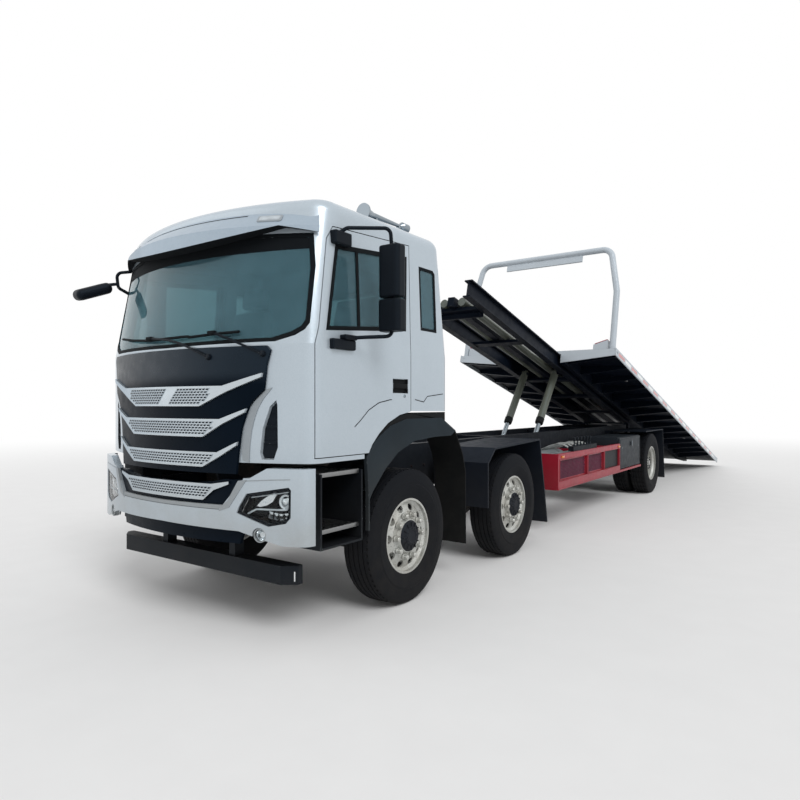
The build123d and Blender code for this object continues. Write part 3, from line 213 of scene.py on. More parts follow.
def hose(bm, points, radius):
    """A smooth tube along a few points."""
    data = bpy.data.curves.new("hose", "CURVE")
    data.dimensions = "3D"
    data.bevel_depth = radius
    data.bevel_resolution = 3
    data.use_fill_caps = True
    data.resolution_u = 8
    spline = data.splines.new("NURBS")
    spline.points.add(len(points) - 1)
    for spot, point in zip(spline.points, points):
        spot.co = (*point, 1.0)
    spline.order_u = 3
    spline.use_endpoint_u = True
    carrier = bpy.data.objects.new("hose", data)
    mesh = bpy.data.meshes.new_from_object(carrier)
    old = set(bm.verts)
    bm.from_mesh(mesh)
    bpy.data.objects.remove(carrier)
    bpy.data.meshes.remove(mesh)
    bpy.data.curves.remove(data)
    return added(bm, old)


def settle(bm, crease):
    """Merges doubles, turns the faces outwards and marks the sharp edges."""
    bmesh.ops.remove_doubles(bm, verts=bm.verts, dist=1e-6)
    bmesh.ops.recalc_face_normals(bm, faces=bm.faces)
    for face in bm.faces:
        face.smooth = True
    for edge in bm.edges:
        edge.smooth = len(edge.link_faces) == 2 and edge.calc_face_angle(0) < crease


def piece(name, bm, body, finishes, crease=0.5):
    """Turns the built mesh into a finished piece that rides on a body."""
    settle(bm, crease)
    mesh = bpy.data.meshes.new(name)
    bm.to_mesh(mesh)
    bm.free()
    made = bpy.data.objects.new(name, mesh)
    bpy.context.scene.collection.objects.link(made)
    for name_of_finish in [finishes] if isinstance(finishes, str) else finishes:
        mesh.materials.append(finish(name_of_finish))
    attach(made, body)
    return made


def copy_of(node):
    """A merged copy of a CAD node's mesh, to be worked on."""
    bm = bmesh.new()
    bm.from_mesh(NODES[node].data)
    bmesh.ops.remove_doubles(bm, verts=bm.verts, dist=1e-5)
    return bm


def carve(bm, cutter):
    """Takes the cutter's closed shapes out of a mesh."""
    objects = []
    for name, source in (("carved", bm), ("cutter", cutter)):
        bmesh.ops.recalc_face_normals(source, faces=source.faces)
        mesh = bpy.data.meshes.new(name)
        source.to_mesh(mesh)
        source.free()
        made = bpy.data.objects.new(name, mesh)
        bpy.context.scene.collection.objects.link(made)
        objects.append(made)
    cut = objects[0].modifiers.new("holes", "BOOLEAN")
    cut.operation = "DIFFERENCE"
    cut.solver = "EXACT"
    cut.use_self = False
    cut.object = objects[1]
    depsgraph = bpy.context.evaluated_depsgraph_get()
    mesh = bpy.data.meshes.new_from_object(objects[0].evaluated_get(depsgraph))
    out = bmesh.new()
    out.from_mesh(mesh)
    bpy.data.meshes.remove(mesh)
    for made in objects:
        data = made.data
        bpy.data.objects.remove(made)
        bpy.data.meshes.remove(data)
    return out


# ---------------------------------------------------------------- finishes
SKY_TINT = "#a6c0d6"           # what grazing reflections take from an open sky
SILVER_DIRT = "#8f8a80"
SILVER_UNDER = "#6d7478"


def parts_of(code):
    """Red, green and blue of an sRGB hex code, from 0 to 1."""
    return [int(code[place:place + 2], 16) / 255 for place in (1, 3, 5)]


def linear(code):
    """Linear colour of an sRGB hex code."""
    return (*[c / 12.92 if c <= 0.04045 else ((c + 0.055) / 1.055) ** 2.4 for c in parts_of(code)], 1.0)


def add_node(tree, kind, inputs=None, **settings):
    """Adds a node with its settings, and feeds its inputs with values or other nodes' outputs."""
    node = tree.nodes.new("ShaderNode" + kind)
    for name, value in settings.items():
        setattr(node, name, value)
    for socket, source in (inputs or {}).items():
        if isinstance(source, bpy.types.NodeSocket):
            tree.links.new(source, node.inputs[socket])
        else:
            node.inputs[socket].default_value = source
    return node


def material(label, maker, *values, **settings):
    """A material whose shader comes from maker(tree, place, ...); place is the object's own coordinates."""
    made = bpy.data.materials.new(label)
    made.use_nodes = True
    tree = made.node_tree
    tree.nodes.clear()
    place = add_node(tree, "TexCoord").outputs["Object"]
    shader = maker(tree, place, *values, **settings)
    add_node(tree, "OutputMaterial", {"Surface": shader.outputs[0]})
    return made


def ranges(source, span, values):
    """Inputs that carry a source from its span over to a pair of values."""
    return {"Value": source, "From Min": span[0], "From Max": span[1], "To Min": values[0],
            "To Max": values[1]}


def patches(tree, place, scale, detail, span, values, roughness=0.5):
    """Cloudy noise, and the same noise carried from its span over to a pair of values."""
    noise = add_node(tree, "TexNoise", {"Vector": place, "Scale": scale, "Detail": detail,
                                                  "Roughness": roughness}).outputs[0]
    return noise, add_node(tree, "MapRange", ranges(noise, span, values)).outputs[0]


def layered(tree, shown, *layers):
    """A colour with layers over it; each layer is its mask and its colour."""
    for mask, colour in layers:
        shown = add_node(tree, "Mix", {0: mask, 6: shown, 7: linear(colour)},
                         data_type="RGBA").outputs[2]
    return shown


def skin(tree, shown, roughness, relief, others=None):
    """A shader with a relief, which is the height's source, its strength and its depth."""
    height, strength, depth = relief
    bump = add_node(tree, "Bump", {"Height": height, "Strength": strength, "Distance": depth})
    return add_node(tree, "BsdfPrincipled", {
        "Base Color": shown, "Roughness": roughness, "Normal": bump.outputs[0], **(others or {})})


def road_grime(tree, place, low, high, amount, scale=3.0):
    """Mask of dust and spray, thick near the road and patchy, from full at low to none at high."""
    height = add_node(tree, "SeparateXYZ", {0: place}).outputs["Z"]
    fade = add_node(tree, "MapRange", ranges(height, (low, high), (amount, 0.0)),
                    interpolation_type="SMOOTHSTEP")
    spread = patches(tree, place, scale, 8.0, (0.3, 0.7), (0.25, 1.0), 0.65)[1]
    return add_node(tree, "Math", {0: fade.outputs[0], 1: spread},
                    operation="MULTIPLY").outputs[0]


def worn_edges(tree, place, radius, amount, scale=30.0):
    """Mask of the corners where the coat is rubbed away."""
    rounded = add_node(tree, "Bevel", {"Radius": radius}, samples=3)
    flat = add_node(tree, "NewGeometry")
    match = add_node(tree, "VectorMath", {0: rounded.outputs[0], 1: flat.outputs["Normal"]},
                     operation="DOT_PRODUCT")
    corner = add_node(tree, "MapRange", ranges(match.outputs["Value"], (0.99, 0.86), (0.0, 1.0)))
    chips = patches(tree, place, scale, 6.0, (0.62 - amount * 0.3, 0.7), (0.0, 1.0), 0.7)[1]
    return add_node(tree, "Math", {0: corner.outputs[0], 1: chips}, operation="MULTIPLY",
                    use_clamp=True).outputs[0]


def facing_in(tree, place):
    """Mask of the faces that look towards the middle of the cab."""
    outwards = add_node(tree, "VectorMath", {0: place, 1: (0.0, at(-0.42), 2.15)},
                        operation="SUBTRACT")
    flat = add_node(tree, "NewGeometry")
    turned = add_node(tree, "VectorMath",
                      {0: outwards.outputs[0], 1: flat.outputs["True Normal"]}, operation="DOT_PRODUCT")
    return add_node(tree, "Math", {0: turned.outputs["Value"], 1: -0.25},
                    operation="LESS_THAN").outputs[0]


def painted_shade_underneath(tree, place):
    """Mask of the undersides, which take the visor's near-black painted shade."""
    flat = add_node(tree, "NewGeometry")
    height = add_node(tree, "SeparateXYZ", {0: flat.outputs["True Normal"]}).outputs["Z"]
    return add_node(tree, "Math", {0: height, 1: -0.5}, operation="LESS_THAN").outputs[0]


def coat(tree, place, colour, dirt=SILVER_DIRT, under=SILVER_UNDER, grime=(0.4, 1.6, 0.5), wear=0.4,
         wear_radius=0.006, metallic=0.0, roughness=0.4, clear=0.0, mottle=0.12, flake=0.0, shine=0.5,
         gloss_above=None, lining_and_shade=None, lining_and_shade_faces=None):
    """A sprayed coat over metal: soft tone shifts, road grime, rubbed corners and a slight orange peel.
    Below gloss_above, a height, the coat is dull. A second colour goes on the faces that a given mask picks:
    a real lining inside the cab and near-black painted shade under the visor."""
    tone = patches(tree, place, 1.7, 5.0, (0.3, 0.7), (1.0 - mottle, 1.0 + mottle))[1]
    shown = add_node(tree, "HueSaturation", {"Value": tone, "Color": linear(colour)}).outputs[0]
    if flake:
        # aluminium flakes are under a tenth of a millimetre: drawn at 3 mm so that they sparkle at all
        sparkle = add_node(tree, "TexVoronoi", {"Vector": place, "Scale": 330.0})
        bright = add_node(tree, "Math", {0: sparkle.outputs["Color"], 1: flake},
                          operation="MULTIPLY")
        shown = layered(tree, shown, (bright.outputs[0], "#ffffff"))
    dust = road_grime(tree, place, *grime)
    shown = layered(tree, shown, (dust, dirt), (worn_edges(tree, place, wear_radius, wear), under))
    dull = patches(tree, place, 14.0, 6.0, (0.3, 0.7), (roughness - 0.06, roughness + 0.08))[1]
    dusty = add_node(tree, "Math", {0: dust, 1: 0.4, 2: dull}, operation="MULTIPLY_ADD",
                     use_clamp=True)
    # orange peel is about a millimetre across: drawn at 8 mm so that a reflection wavers a little
    peel = add_node(tree, "TexNoise", {"Vector": place, "Scale": 120.0, "Detail": 2.0})
    if gloss_above:
        height = add_node(tree, "SeparateXYZ", {0: place}).outputs["Z"]
        shine = add_node(tree, "MapRange",
                         ranges(height, (gloss_above - 0.06, gloss_above + 0.04), (shine * 0.16, shine)),
                         interpolation_type="SMOOTHSTEP").outputs[0]
    shader = skin(tree, shown, dusty.outputs[0], (peel.outputs[0], 0.25, 0.0006), {
        "Metallic": metallic, "Coat Weight": clear, "Coat Roughness": 0.08, "Specular IOR Level": shine,
        "Specular Tint": linear(SKY_TINT)})
    if not lining_and_shade:
        return shader
    # second layer: the cab's real lining, and near-black painted shade under the visor
    cloth = skin(tree, linear(lining_and_shade), 0.9, (peel.outputs[0], 0.25, 0.0006), {"Specular IOR Level": 0.2})
    return add_node(tree, "MixShader", {0: lining_and_shade_faces(tree, place), 1: shader.outputs[0],
                                                  2: cloth.outputs[0]})


def moulded(tree, place, colour, dirt, roughness=0.6, grime=(0.4, 1.6, 0.2), pale=0.2):
    """Moulded plastic: fine leather grain, dust in the low parts and corners bleached pale."""
    tone = patches(tree, place, 2.5, 6.0, (0.3, 0.7), (0.82, 1.22))[1]
    shown = add_node(tree, "HueSaturation", {"Value": tone, "Color": linear(colour)}).outputs[0]
    shown = layered(tree, shown, (road_grime(tree, place, *grime), dirt),
                    (worn_edges(tree, place, 0.008, pale), "#7d8386"))
    # the grain's cells are about 1 mm: drawn at 5 mm so that the skin reads as moulded
    cells = add_node(tree, "TexVoronoi", {"Vector": place, "Scale": 220.0}, feature="SMOOTH_F1")
    return skin(tree, shown, roughness, (cells.outputs[0], 0.5, 0.0012),
                {"Specular IOR Level": 0.18, "Specular Tint": linear(SKY_TINT)})


def polished(tree, place, colour, roughness, scale, depth):
    """Bright metal with smears in its gloss and dust spots in its colour."""
    smear, rough = patches(tree, place, scale, 8.0, (0.35, 0.7), (roughness * 0.6, roughness * 1.7), 0.7)
    spots = add_node(tree, "MapRange", ranges(smear, (0.6, 0.72), (0.0, 0.3)))
    shown = layered(tree, linear(colour), (spots.outputs[0], "#5a5147"))
    return skin(tree, shown, rough, (smear, 0.3, depth), {"Metallic": 1.0})


def freckled(tree, place, colour):
    """Cast wheel paint with brake dust, a brown film and stone chips."""
    freckles, spots = patches(tree, place, 75.0, 8.0, (0.56, 0.63), (0.0, 0.75), 0.75)
    haze = patches(tree, place, 7.0, 6.0, (0.35, 0.7), (0.0, 0.4))[1]
    shown = layered(tree, linear(colour), (spots, "#4c453d"), (haze, "#8a8274"),
                    (worn_edges(tree, place, 0.005, 0.7), "#57463a"))
    rough = add_node(tree, "MapRange", ranges(spots, (0.0, 0.75), (0.36, 0.75)))
    return skin(tree, shown, rough.outputs[0], (freckles, 0.4, 0.0015), {"Metallic": 0.45})


def pane_with_painted_reflection(tree, place, colour):
    """Clear tinted glass, partly hidden by a blue-grey diffuse layer that paints in the sky's reflection."""
    film, haze = patches(tree, place, 9.0, 9.0, (0.4, 0.75), (0.0, 0.1), 0.7)
    pane = add_node(tree, "BsdfPrincipled", {
        "Base Color": linear(colour), "Roughness": haze, "IOR": 1.45, "Specular Tint": linear("#86b4c4"),
        "Transmission Weight": 1.0})
    # blue-grey diffuse layer in patches: painted reflection of the sky
    painted_sky_reflection = add_node(tree, "BsdfDiffuse", {"Color": linear("#7ba7b6")})
    share = add_node(tree, "MapRange", ranges(film, (0.3, 0.75), (0.17, 0.26)))
    return add_node(tree, "MixShader", {0: share.outputs[0], 1: pane.outputs[0],
                                                  2: painted_sky_reflection.outputs[0]})


def clear_cover(tree, place, colour):
    """Clear plastic with a faint haze."""
    haze = patches(tree, place, 25.0, 6.0, (0.4, 0.8), (0.0, 0.08))[1]
    return add_node(tree, "BsdfPrincipled", {
        "Base Color": linear(colour), "Roughness": haze, "IOR": 1.2, "Transmission Weight": 1.0})


def fluted(tree, place, colour):
    """Ribbed lamp lens: coloured plastic with fine upright flutes."""
    flutes = add_node(tree, "TexWave", {"Vector": place, "Scale": 26.0, "Distortion": 0.0},
                      wave_type="BANDS", bands_direction="X")
    shade = patches(tree, place, 22.0, 6.0, (0.35, 0.7), (1.1, 0.85))[1]
    shown = add_node(tree, "HueSaturation", {"Value": shade, "Color": linear(colour)})
    return skin(tree, shown.outputs[0], 0.12, (flutes.outputs[0], 0.6, 0.002), {
        "Transmission Weight": 0.25, "Emission Color": linear(colour), "Emission Strength": 0.05})


def road_rubber(tree, place, colour):
    """Tyre rubber: dust on the walls, paler where it is rubbed."""
    shown = layered(tree, linear(colour), (road_grime(tree, place, 0.1, 1.2, 0.1, 9.0), "#5c554b"),
                    (worn_edges(tree, place, 0.006, 0.5, 60.0), "#302f2e"))
    # moulding texture is under a millimetre: drawn at 4 mm so that the wall looks pebbled
    pebble = add_node(tree, "TexNoise", {"Vector": place, "Scale": 260.0, "Detail": 3.0})
    return skin(tree, shown, 0.78, (pebble.outputs[0], 0.5, 0.0015), {"Specular IOR Level": 0.12})


def sand_cast(tree, place, colour):
    """Pitted casting with a rust bloom and road dust."""
    rust = patches(tree, place, 11.0, 9.0, (0.48, 0.68), (0.0, 0.5), 0.72)[1]
    shown = layered(tree, linear(colour), (rust, "#4d382c"),
                    (road_grime(tree, place, 0.2, 1.1, 0.25, 6.0), "#575148"))
    pits = add_node(tree, "TexNoise", {"Vector": place, "Scale": 150.0, "Detail": 5.0})
    return skin(tree, shown, 0.72, (pits.outputs[0], 0.7, 0.003), {"Metallic": 0.2})


def woven(tree, place, colour):
    """Plain weave with a lighter fleck where the yarns cross."""
    # yarns are about a millimetre: drawn at 6 mm so that the weave is seen through the glass
    warp, weft = (add_node(tree, "TexWave", {"Vector": place, "Scale": 26.0, "Distortion": 0.6},
                           wave_type="BANDS", bands_direction=way).outputs[1] for way in ("X", "Y"))
    weave = add_node(tree, "Math", {0: warp, 1: weft}, operation="MULTIPLY").outputs[0]
    fleck = add_node(tree, "Math", {0: weave, 1: 0.55}, operation="MULTIPLY").outputs[0]
    shown = layered(tree, linear(colour), (fleck, "#59616c"))
    return skin(tree, shown, 0.9, (weave, 0.6, 0.002), {"Sheen Weight": 0.3})


def prismatic(tree, place, colour):
    """Marking tape: honeycomb of small bright cells under a clear film."""
    # the cells are 4 mm across: drawn at 12 mm so that the honeycomb is seen at all
    cells = add_node(tree, "TexVoronoi", {"Vector": place, "Scale": 85.0},
                     feature="DISTANCE_TO_EDGE").outputs[0]
    grid = add_node(tree, "MapRange", ranges(cells, (0.0, 0.08), (0.35, 0.0)))
    shown = layered(tree, linear(colour), (grid.outputs[0], "#f4f4f0"))
    return skin(tree, shown, 0.25, (cells, 0.3, 0.001), {"Metallic": 0.25, "Coat Weight": 0.8})


def stranded(tree, place, colour):
    """Twisted strands, bright on their crowns."""
    lay = add_node(tree, "TexWave", {"Vector": place, "Scale": 40.0, "Distortion": 1.0},
                   wave_type="BANDS", bands_direction="DIAGONAL").outputs[1]
    shown = layered(tree, linear(colour), (lay, "#8a8984"))
    return skin(tree, shown, 0.42, (lay, 0.8, 0.002), {"Metallic": 0.8})


def braided(tree, place, colour):
    """Braided cover with stains."""
    braid = add_node(tree, "TexChecker", {"Vector": place, "Scale": 150.0})
    stain = patches(tree, place, 12.0, 6.0, (0.4, 0.7), (0.0, 0.6))[1]
    shown = layered(tree, linear(colour), (stain, "#55524c"))
    return skin(tree, shown, 0.6, (braid.outputs[1], 0.4, 0.001))


def scoured(tree, place, colour):
    """Enamel scoured in long streaks, brown here and there."""
    along = add_node(tree, "Mapping", {"Vector": place, "Scale": (38.0, 1.6, 1.6)}).outputs[0]
    streaks, bare = patches(tree, along, 1.0, 9.0, (0.5, 0.72), (0.0, 0.7), 0.7)
    brown = patches(tree, place, 5.0, 8.0, (0.55, 0.75), (0.0, 0.35))[1]
    shown = layered(tree, linear(colour), (bare, "#4d5155"), (brown, "#3f3630"))
    return skin(tree, shown, 0.5, (streaks, 0.4, 0.002), {"Metallic": 0.5})


# each finish: its name in Blender, its maker, its colour as a code or as one of the panel's, its settings
FINISHES = {
    # light metallic coat whose flakes and clear lacquer give the cab a soft silver sheen
    "cab_paint": ("Silver Metallic Cab Paint", coat, "cab", dict(
        grime=(0.5, 1.5, 0.3), wear=0.1, metallic=0.35, roughness=0.34, clear=0.8, mottle=0.03, flake=0.12,
        lining_and_shade="#34373a", lining_and_shade_faces=facing_in)),
    # the cab's silver over moulded plastic, dustier because it is nearer the road
    "bumper_paint": ("Silver Bumper Paint", coat, "cab", dict(
        grime=(0.5, 1.3, 0.5), wear=0.15, metallic=0.3, roughness=0.36, clear=0.7, mottle=0.04,
        flake=0.12)),
    # silver like the cab, made a shade darker as painted shade, with near-black painted shade on its
    # underside
    "visor_paint": ("Silver Visor Paint", coat, "#97a6b3", dict(
        grime=(0.5, 1.3, 0.2), wear=0.1, metallic=0.3, roughness=0.4, clear=0.35, mottle=0.04, flake=0.1,
        lining_and_shade="#080d12", lining_and_shade_faces=painted_shade_underneath)),
    # flatter grey of the bumper's bevels and the bands beside the lid
    "trim_paint": ("Warm Grey Trim Paint", coat, "#8a9196", dict(
        under="#5d6468", grime=(0.5, 1.5, 0.4), wear=0.2, metallic=0.3, roughness=0.42, clear=0.3,
        mottle=0.06, flake=0.08)),
    # near-black lacquer: its upper panel is polished blue by the sky, its bars between the strips stay dull
    "lid_paint": ("Black Navy Lid Lacquer", coat, "lid", dict(
        dirt="#3c3d40", under="#2a2d32", grime=(0.9, 1.5, 0.08), wear=0.1, roughness=0.3, mottle=0.2,
        shine=0.42, gloss_above=1.74)),
    # satin bright metal that breaks the dark lid into winged bars
    "strip_paint": ("Satin Silver Grille Strip", coat, "strips", dict(
        under="#54585c", grime=(0.7, 1.5, 0.25), wear=0.15, metallic=0.65, roughness=0.3, clear=0.4,
        mottle=0.04, flake=0.1)),
    # satin black enamel, brown with road dust low down and rusty where the corners are knocked
    "frame_paint": ("Chassis Black Enamel", coat, "frame", dict(
        dirt="#4c463e", under="#4a3022", grime=(0.3, 1.2, 0.3), wear=0.5, roughness=0.55, mottle=0.25,
        shine=0.14)),
    # deep navy enamel that reads as black until the light rakes it, scraped to steel at the corners
    "bed_paint": ("Deep Navy Bed Enamel", coat, "bed", dict(
        dirt="#3b3a38", under="#5a5d62", grime=(0.2, 1.6, 0.15), wear=0.5, roughness=0.45, mottle=0.3,
        shine=0.1)),
    # chalky white coat with grey scuffs, and bare steel at the corners
    "edge_paint": ("White Edge Enamel", coat, "edge", dict(
        dirt="#8a8378", under="#54504a", grime=(-1.0, 4.5, 0.25), wear=0.7, wear_radius=0.008,
        roughness=0.45, clear=0.15, mottle=0.06)),
    # crimson coat, purplish and a little faded
    "red_paint": ("Crimson Panel Enamel", coat, "panel", dict(
        dirt="#6a5a50", under="#3a3032", grime=(0.3, 1.2, 0.3), wear=0.5, roughness=0.42, clear=0.15,
        mottle=0.15)),
    # pierced sheets inside the red guards: dark plum, almost hidden by their own holes, whose near-black
    # floors are painted shade
    "mesh_plum": ("Plum Pierced Sheet", coat, "#5c1a33", dict(
        dirt="#4a3a36", under="#2c2024", grime=(0.3, 1.2, 0.2), wear=0.2, roughness=0.5, mottle=0.2,
        shine=0.2)),
    # charcoal box paint, dull with road film
    "grey_paint": ("Charcoal Box Enamel", coat, "#24282d", dict(
        dirt="#48443e", under="#6a6e72", grime=(0.4, 1.2, 0.25), wear=0.5, roughness=0.5, mottle=0.12,
        shine=0.22)),
    # blue-black sheet of the mudguards, with stone-chip dust
    "guard_dark": ("Blue-black Mudguard Coat", coat, "#171b23", dict(
        dirt="#4c4842", under="#3a3e44", grime=(0.2, 1.2, 0.3), wear=0.4, roughness=0.55, mottle=0.2,
        shine=0.16)),
    # plain bright metal paint of the tanks
    "silver_paint": ("Bright Fitting Silver", coat, "#a4aaad", dict(
        dirt="#7d766a", under="#4d4a46", grime=(0.3, 1.4, 0.4), wear=0.4, metallic=0.6, roughness=0.38,
        mottle=0.1)),
    # hydraulic barrels: olive grey enamel with oily streaks
    "cylinder_steel": ("Olive Grey Barrel Enamel", coat, "#5b5f55", dict(
        dirt="#4a443b", under="#8d8f8c", grime=(0.4, 2.6, 0.35), wear=0.5, roughness=0.4, clear=0.3,
        mottle=0.18)),
    # cast silver wheel paint, freckled with brake dust and stone chips
    "rim_silver": ("Freckled Wheel Silver", freckled, "#bfc1bd", {}),
    # mirror shells, window linings and steps: deep grain, slightly greyed by the sun
    "black_plastic": ("Grained Black Plastic", moulded, "#101318", dict(
        dirt="#45423d", roughness=0.5, pale=0.15)),
    # wheel arches: thick grey-green moulding with a dusty bloom
    "grey_plastic": ("Weathered Arch Plastic", moulded, "#22292e", dict(
        dirt="#5a544b", roughness=0.68, grime=(0.5, 1.5, 0.3))),
    # fascia and inner panels: soft warm grey skin
    "cabin_plastic": ("Soft Fascia Skin", moulded, "#4b4d4f", dict(
        dirt="#5d5a55", roughness=0.7, grime=(0.0, 0.1, 0.0), pale=0.1)),
    # window seals, wiper blades and flaps: dull black with a dusty lip
    "seal_rubber": ("Dull Seal Rubber", moulded, "#0d0e0f", dict(
        dirt="#4e4a44", roughness=0.75, grime=(0.5, 2.6, 0.2), pale=0.05)),
    # green-tinted cab glass under a blue-grey diffuse layer of painted sky reflection, which lifts its darks
    "glass": ("Green-tinted Cab Glass", pane_with_painted_reflection, "glass", {}),
    # clear lamp cover, bright at grazing angles, so that the parts inside show through
    "lamp_cover": ("Clear Lamp Cover", clear_cover, "#f2f5f6", {}),
    # marker lamps and light guides: milky clear plastic
    "pale_lens": ("Milky Clear Lens", fluted, "#c3ccd2", {}),
    # side repeaters and turn lamps: warm orange plastic
    "amber_lens": ("Amber Flute Lens", fluted, "#d9780c", {}),
    # tail and brake lamps: deep red plastic
    "red_lens": ("Red Flute Lens", fluted, "#a80d10", {}),
    # vacuum-plated lamp bowls: soft broken mirror
    "reflector": ("Plated Lamp Bowl", polished, "#cfd4d7", dict(roughness=0.14, scale=30.0, depth=0.002)),
    # horn trumpet and lift rods: near-perfect mirror with water spots
    "chrome": ("Bright Chrome", polished, "#8d969d", dict(roughness=0.1, scale=14.0, depth=0.0002)),
    # slide rods, step grips, cleats and winch cheeks: ground steel, brown in the hollows
    "bare_steel": ("Ground Bare Steel", polished, "#8b8c8c", dict(roughness=0.36, scale=40.0, depth=0.001)),
    # silvered mirror glass with a little dust
    "mirror_face": ("Silvered Mirror Glass", polished, "#e4e8ea", dict(
        roughness=0.03, scale=12.0, depth=0.0)),
    # road rubber: brown-grey dust on the walls, darker where the tread has run
    "tyre": ("Road-worn Tyre Rubber", road_rubber, "tyre", {}),
    # axles, springs and hubs: sand-cast skin, black with a rust bloom
    "iron": ("Sand-cast Iron", sand_cast, "#1f1f1e", {}),
    # woven cab cloth: blue-grey yarn with a lighter fleck
    "seat_cloth": ("Woven Cab Cloth", woven, "#2b3038", {}),
    # red half of the marking tape along the deck's edge: glints when light strikes it
    "tape_red": ("Red Marking Tape", prismatic, "#b3121c", {}),
    # white half of the marking tape: glints when light strikes it
    "tape_white": ("White Marking Tape", prismatic, "#dcdfe0", {}),
    # winch rope: grey greased strands
    "wire_rope": ("Greased Wire Rope", stranded, "#2c2b29", {}),
    # pale braided hydraulic hoses, grubby in the bends
    "hose_skin": ("Pale Braided Hose", braided, "#b9bdbb", {}),
    # load floor: dark enamel scoured along its length to bare steel by the wheels of what is carried
    "floor_steel": ("Scoured Load Floor", scoured, "#15181f", {}),
}
_finished = {}


def finish(name):
    """The named finish, made once."""
    if name not in _finished:
        label, maker, colour, settings = FINISHES[name]
        if not colour.startswith("#"):
            colour = hex_of(getattr(bpy.context.scene.tow_truck_colours, colour))
        _finished[name] = material(label, maker, colour, **settings)
    return _finished[name]


def hex_of(colour):
    """sRGB hex code of a colour picked in the panel."""
    return "#" + "".join(f"{round(max(0.0, min(1.0, part)) * 255):02x}" for part in colour[:3])


def picked(name, description, code):
    """A colour that a user can change."""
    return FloatVectorProperty(name=name, description=description, subtype="COLOR_GAMMA", size=3, min=0.0,
                               max=1.0, default=parts_of(code))


class TruckColours(bpy.types.PropertyGroup):
    """Colours a user would change."""
    cab: picked("Cab", "Colour of the cab, doors, visor and bumper", "#a9b5be")
    lid: picked("Front lid", "Colour of the dark lid under the windscreen", "#060f19")
    strips: picked("Grille strips", "Colour of the winged strips", "#b9c2c8")
    frame: picked("Chassis", "Colour of the frame rails and cross members", "#14171c")
    bed: picked("Bed", "Colour of the sliding bed and its tilting frame", "#0b101a")
    edge: picked("Bed trim", "Colour of the hoop, edge rails and front plate", "#b6bec5")
    panel: picked("Side panels", "Colour of the side guards", "#931428")
    glass: picked("Glass", "Tint of the cab's glass", "#86a3a6")
    tyre: picked("Tyres", "Colour of the tyre rubber", "#0f1217")


def length(name, description, default, low, high):
    """A length that a user can change."""
    return FloatProperty(name=name, description=description, default=default, min=low, max=high,
                         unit="LENGTH", subtype="DISTANCE")


class TruckSizes(bpy.types.PropertyGroup):
    """Sizes of the fittings that a user would change."""
    slot_pitch: length("Slot pitch", "Distance between slots along a grille strip", 0.030, 0.018, 0.08)
    tread_steps: IntProperty(name="Tread steps", description="Blocks round each tyre's shoulder",
                             default=128, min=48, max=200)
    groove_depth: length("Groove depth", "Depth of the tyre's tread grooves", 0.014, 0.004, 0.02)
    nut_reach: length("Wheel nut reach", "How far the capped wheel nuts stand out", 0.026, 0.015, 0.05)
    hand_hole: length("Hand hole", "Width of the oval holes in the wheel discs", 0.066, 0.045, 0.07)
    tape_length: length("Tape length", "Length of one mark of the edge tape", 0.3, 0.1, 0.6)
    bead: length("Window seal", "Width of the rubber round the windscreen", 0.022, 0.01, 0.06)
    blade: length("Wiper rubber", "Thickness of a wiper blade", 0.018, 0.008, 0.03)


# finish of each CAD node; the first row that the node's name starts with counts
NODE_FINISHES = (
    ("glass", ("cab_glass", "door_glass")),
    ("cab_paint", ("cab_shell", "door_")),
    ("visor_paint", ("roof_visor",)),
    ("bumper_paint", ("bumper",)),
    ("lid_paint", ("front_lid", "front_valance")),
    ("strip_paint", ("grille_strips",)),
    ("lamp_cover", ("front_lamps",)),
    ("black_plastic", ("mirror", "front_mirrors", "underrun_bar", "cab_steps")),
    ("grey_plastic", ("front_arches",)),
    ("cabin_plastic", ("dashboard",)),
    ("seat_cloth", ("seats",)),
    ("guard_dark", ("mudguards",)),
    ("red_paint", ("side_guards",)),
    ("grey_paint", ("toolbox",)),
    ("silver_paint", ("tanks",)),
    ("frame_paint", ("chassis_frame", "control_levers", "tail_lamps", "winch")),
    ("iron", ("engine_block", "steer_axles", "rear_axle", "leaf_springs", "knuckle")),
    ("rim_silver", ("rim",)),
    ("tyre", ("tyre",)),
    ("edge_paint", ("deck_edges", "hoop")),
    ("bed_paint", ("tilt_frame", "deck")),
    ("cylinder_steel", ("slide_cylinders", "lift_barrels")),
    ("bare_steel", ("slide_rods",)),
    ("chrome", ("air_horn", "lift_rods")),
)


class TOWTRUCK_OT_finishes(bpy.types.Operator):
    """Gives every CAD part its finish"""
    bl_idname = "towtruck.finishes"
    bl_label = "Finish CAD parts"

    def execute(self, context):
        for node, holder in NODES.items():
            name = next(name for name, starts in NODE_FINISHES if node.startswith(starts))
            if not holder.material_slots:
                holder.data.materials.append(None)
            for place in holder.material_slots:
                place.link = "OBJECT"
                place.material = finish(name)
        return {"FINISHED"}


# ---------------------------------------------------------------- shapes shared by the fittings
def wheel_place(x, y, side):
    """Place on a wheel's axle whose local z points outwards."""
    return facing((side * x, y, HUB_Z), (side, 0, 0))


def panel(bm, width, height, thickness, place, corner=0.0, soften=0.0):
    """A plate with round corners, its back on the place and its face along local z."""
    old = set(bm.verts)
    bmesh.ops.create_grid(bm, x_segments=1, y_segments=1, size=0.5)
    bmesh.ops.scale(bm, vec=(width, height, 1), verts=added(bm, old))
    if corner:
        bmesh.ops.bevel(bm, geom=added(bm, old), offset=corner, segments=4, profile=0.5, affect="VERTICES",
                        clamp_overlap=True, material=-1)
    faces = [f for f in bm.faces if f.verts[0] not in old]
    pushed = bmesh.ops.extrude_face_region(bm, geom=faces)["geom"]
    bmesh.ops.translate(bm, vec=(0, 0, thickness),
                        verts=vertices(pushed))
    if soften:
        soften_edges(bm, added(bm, old), soften)
    bmesh.ops.transform(bm, matrix=place, verts=added(bm, old))
    return added(bm, old)


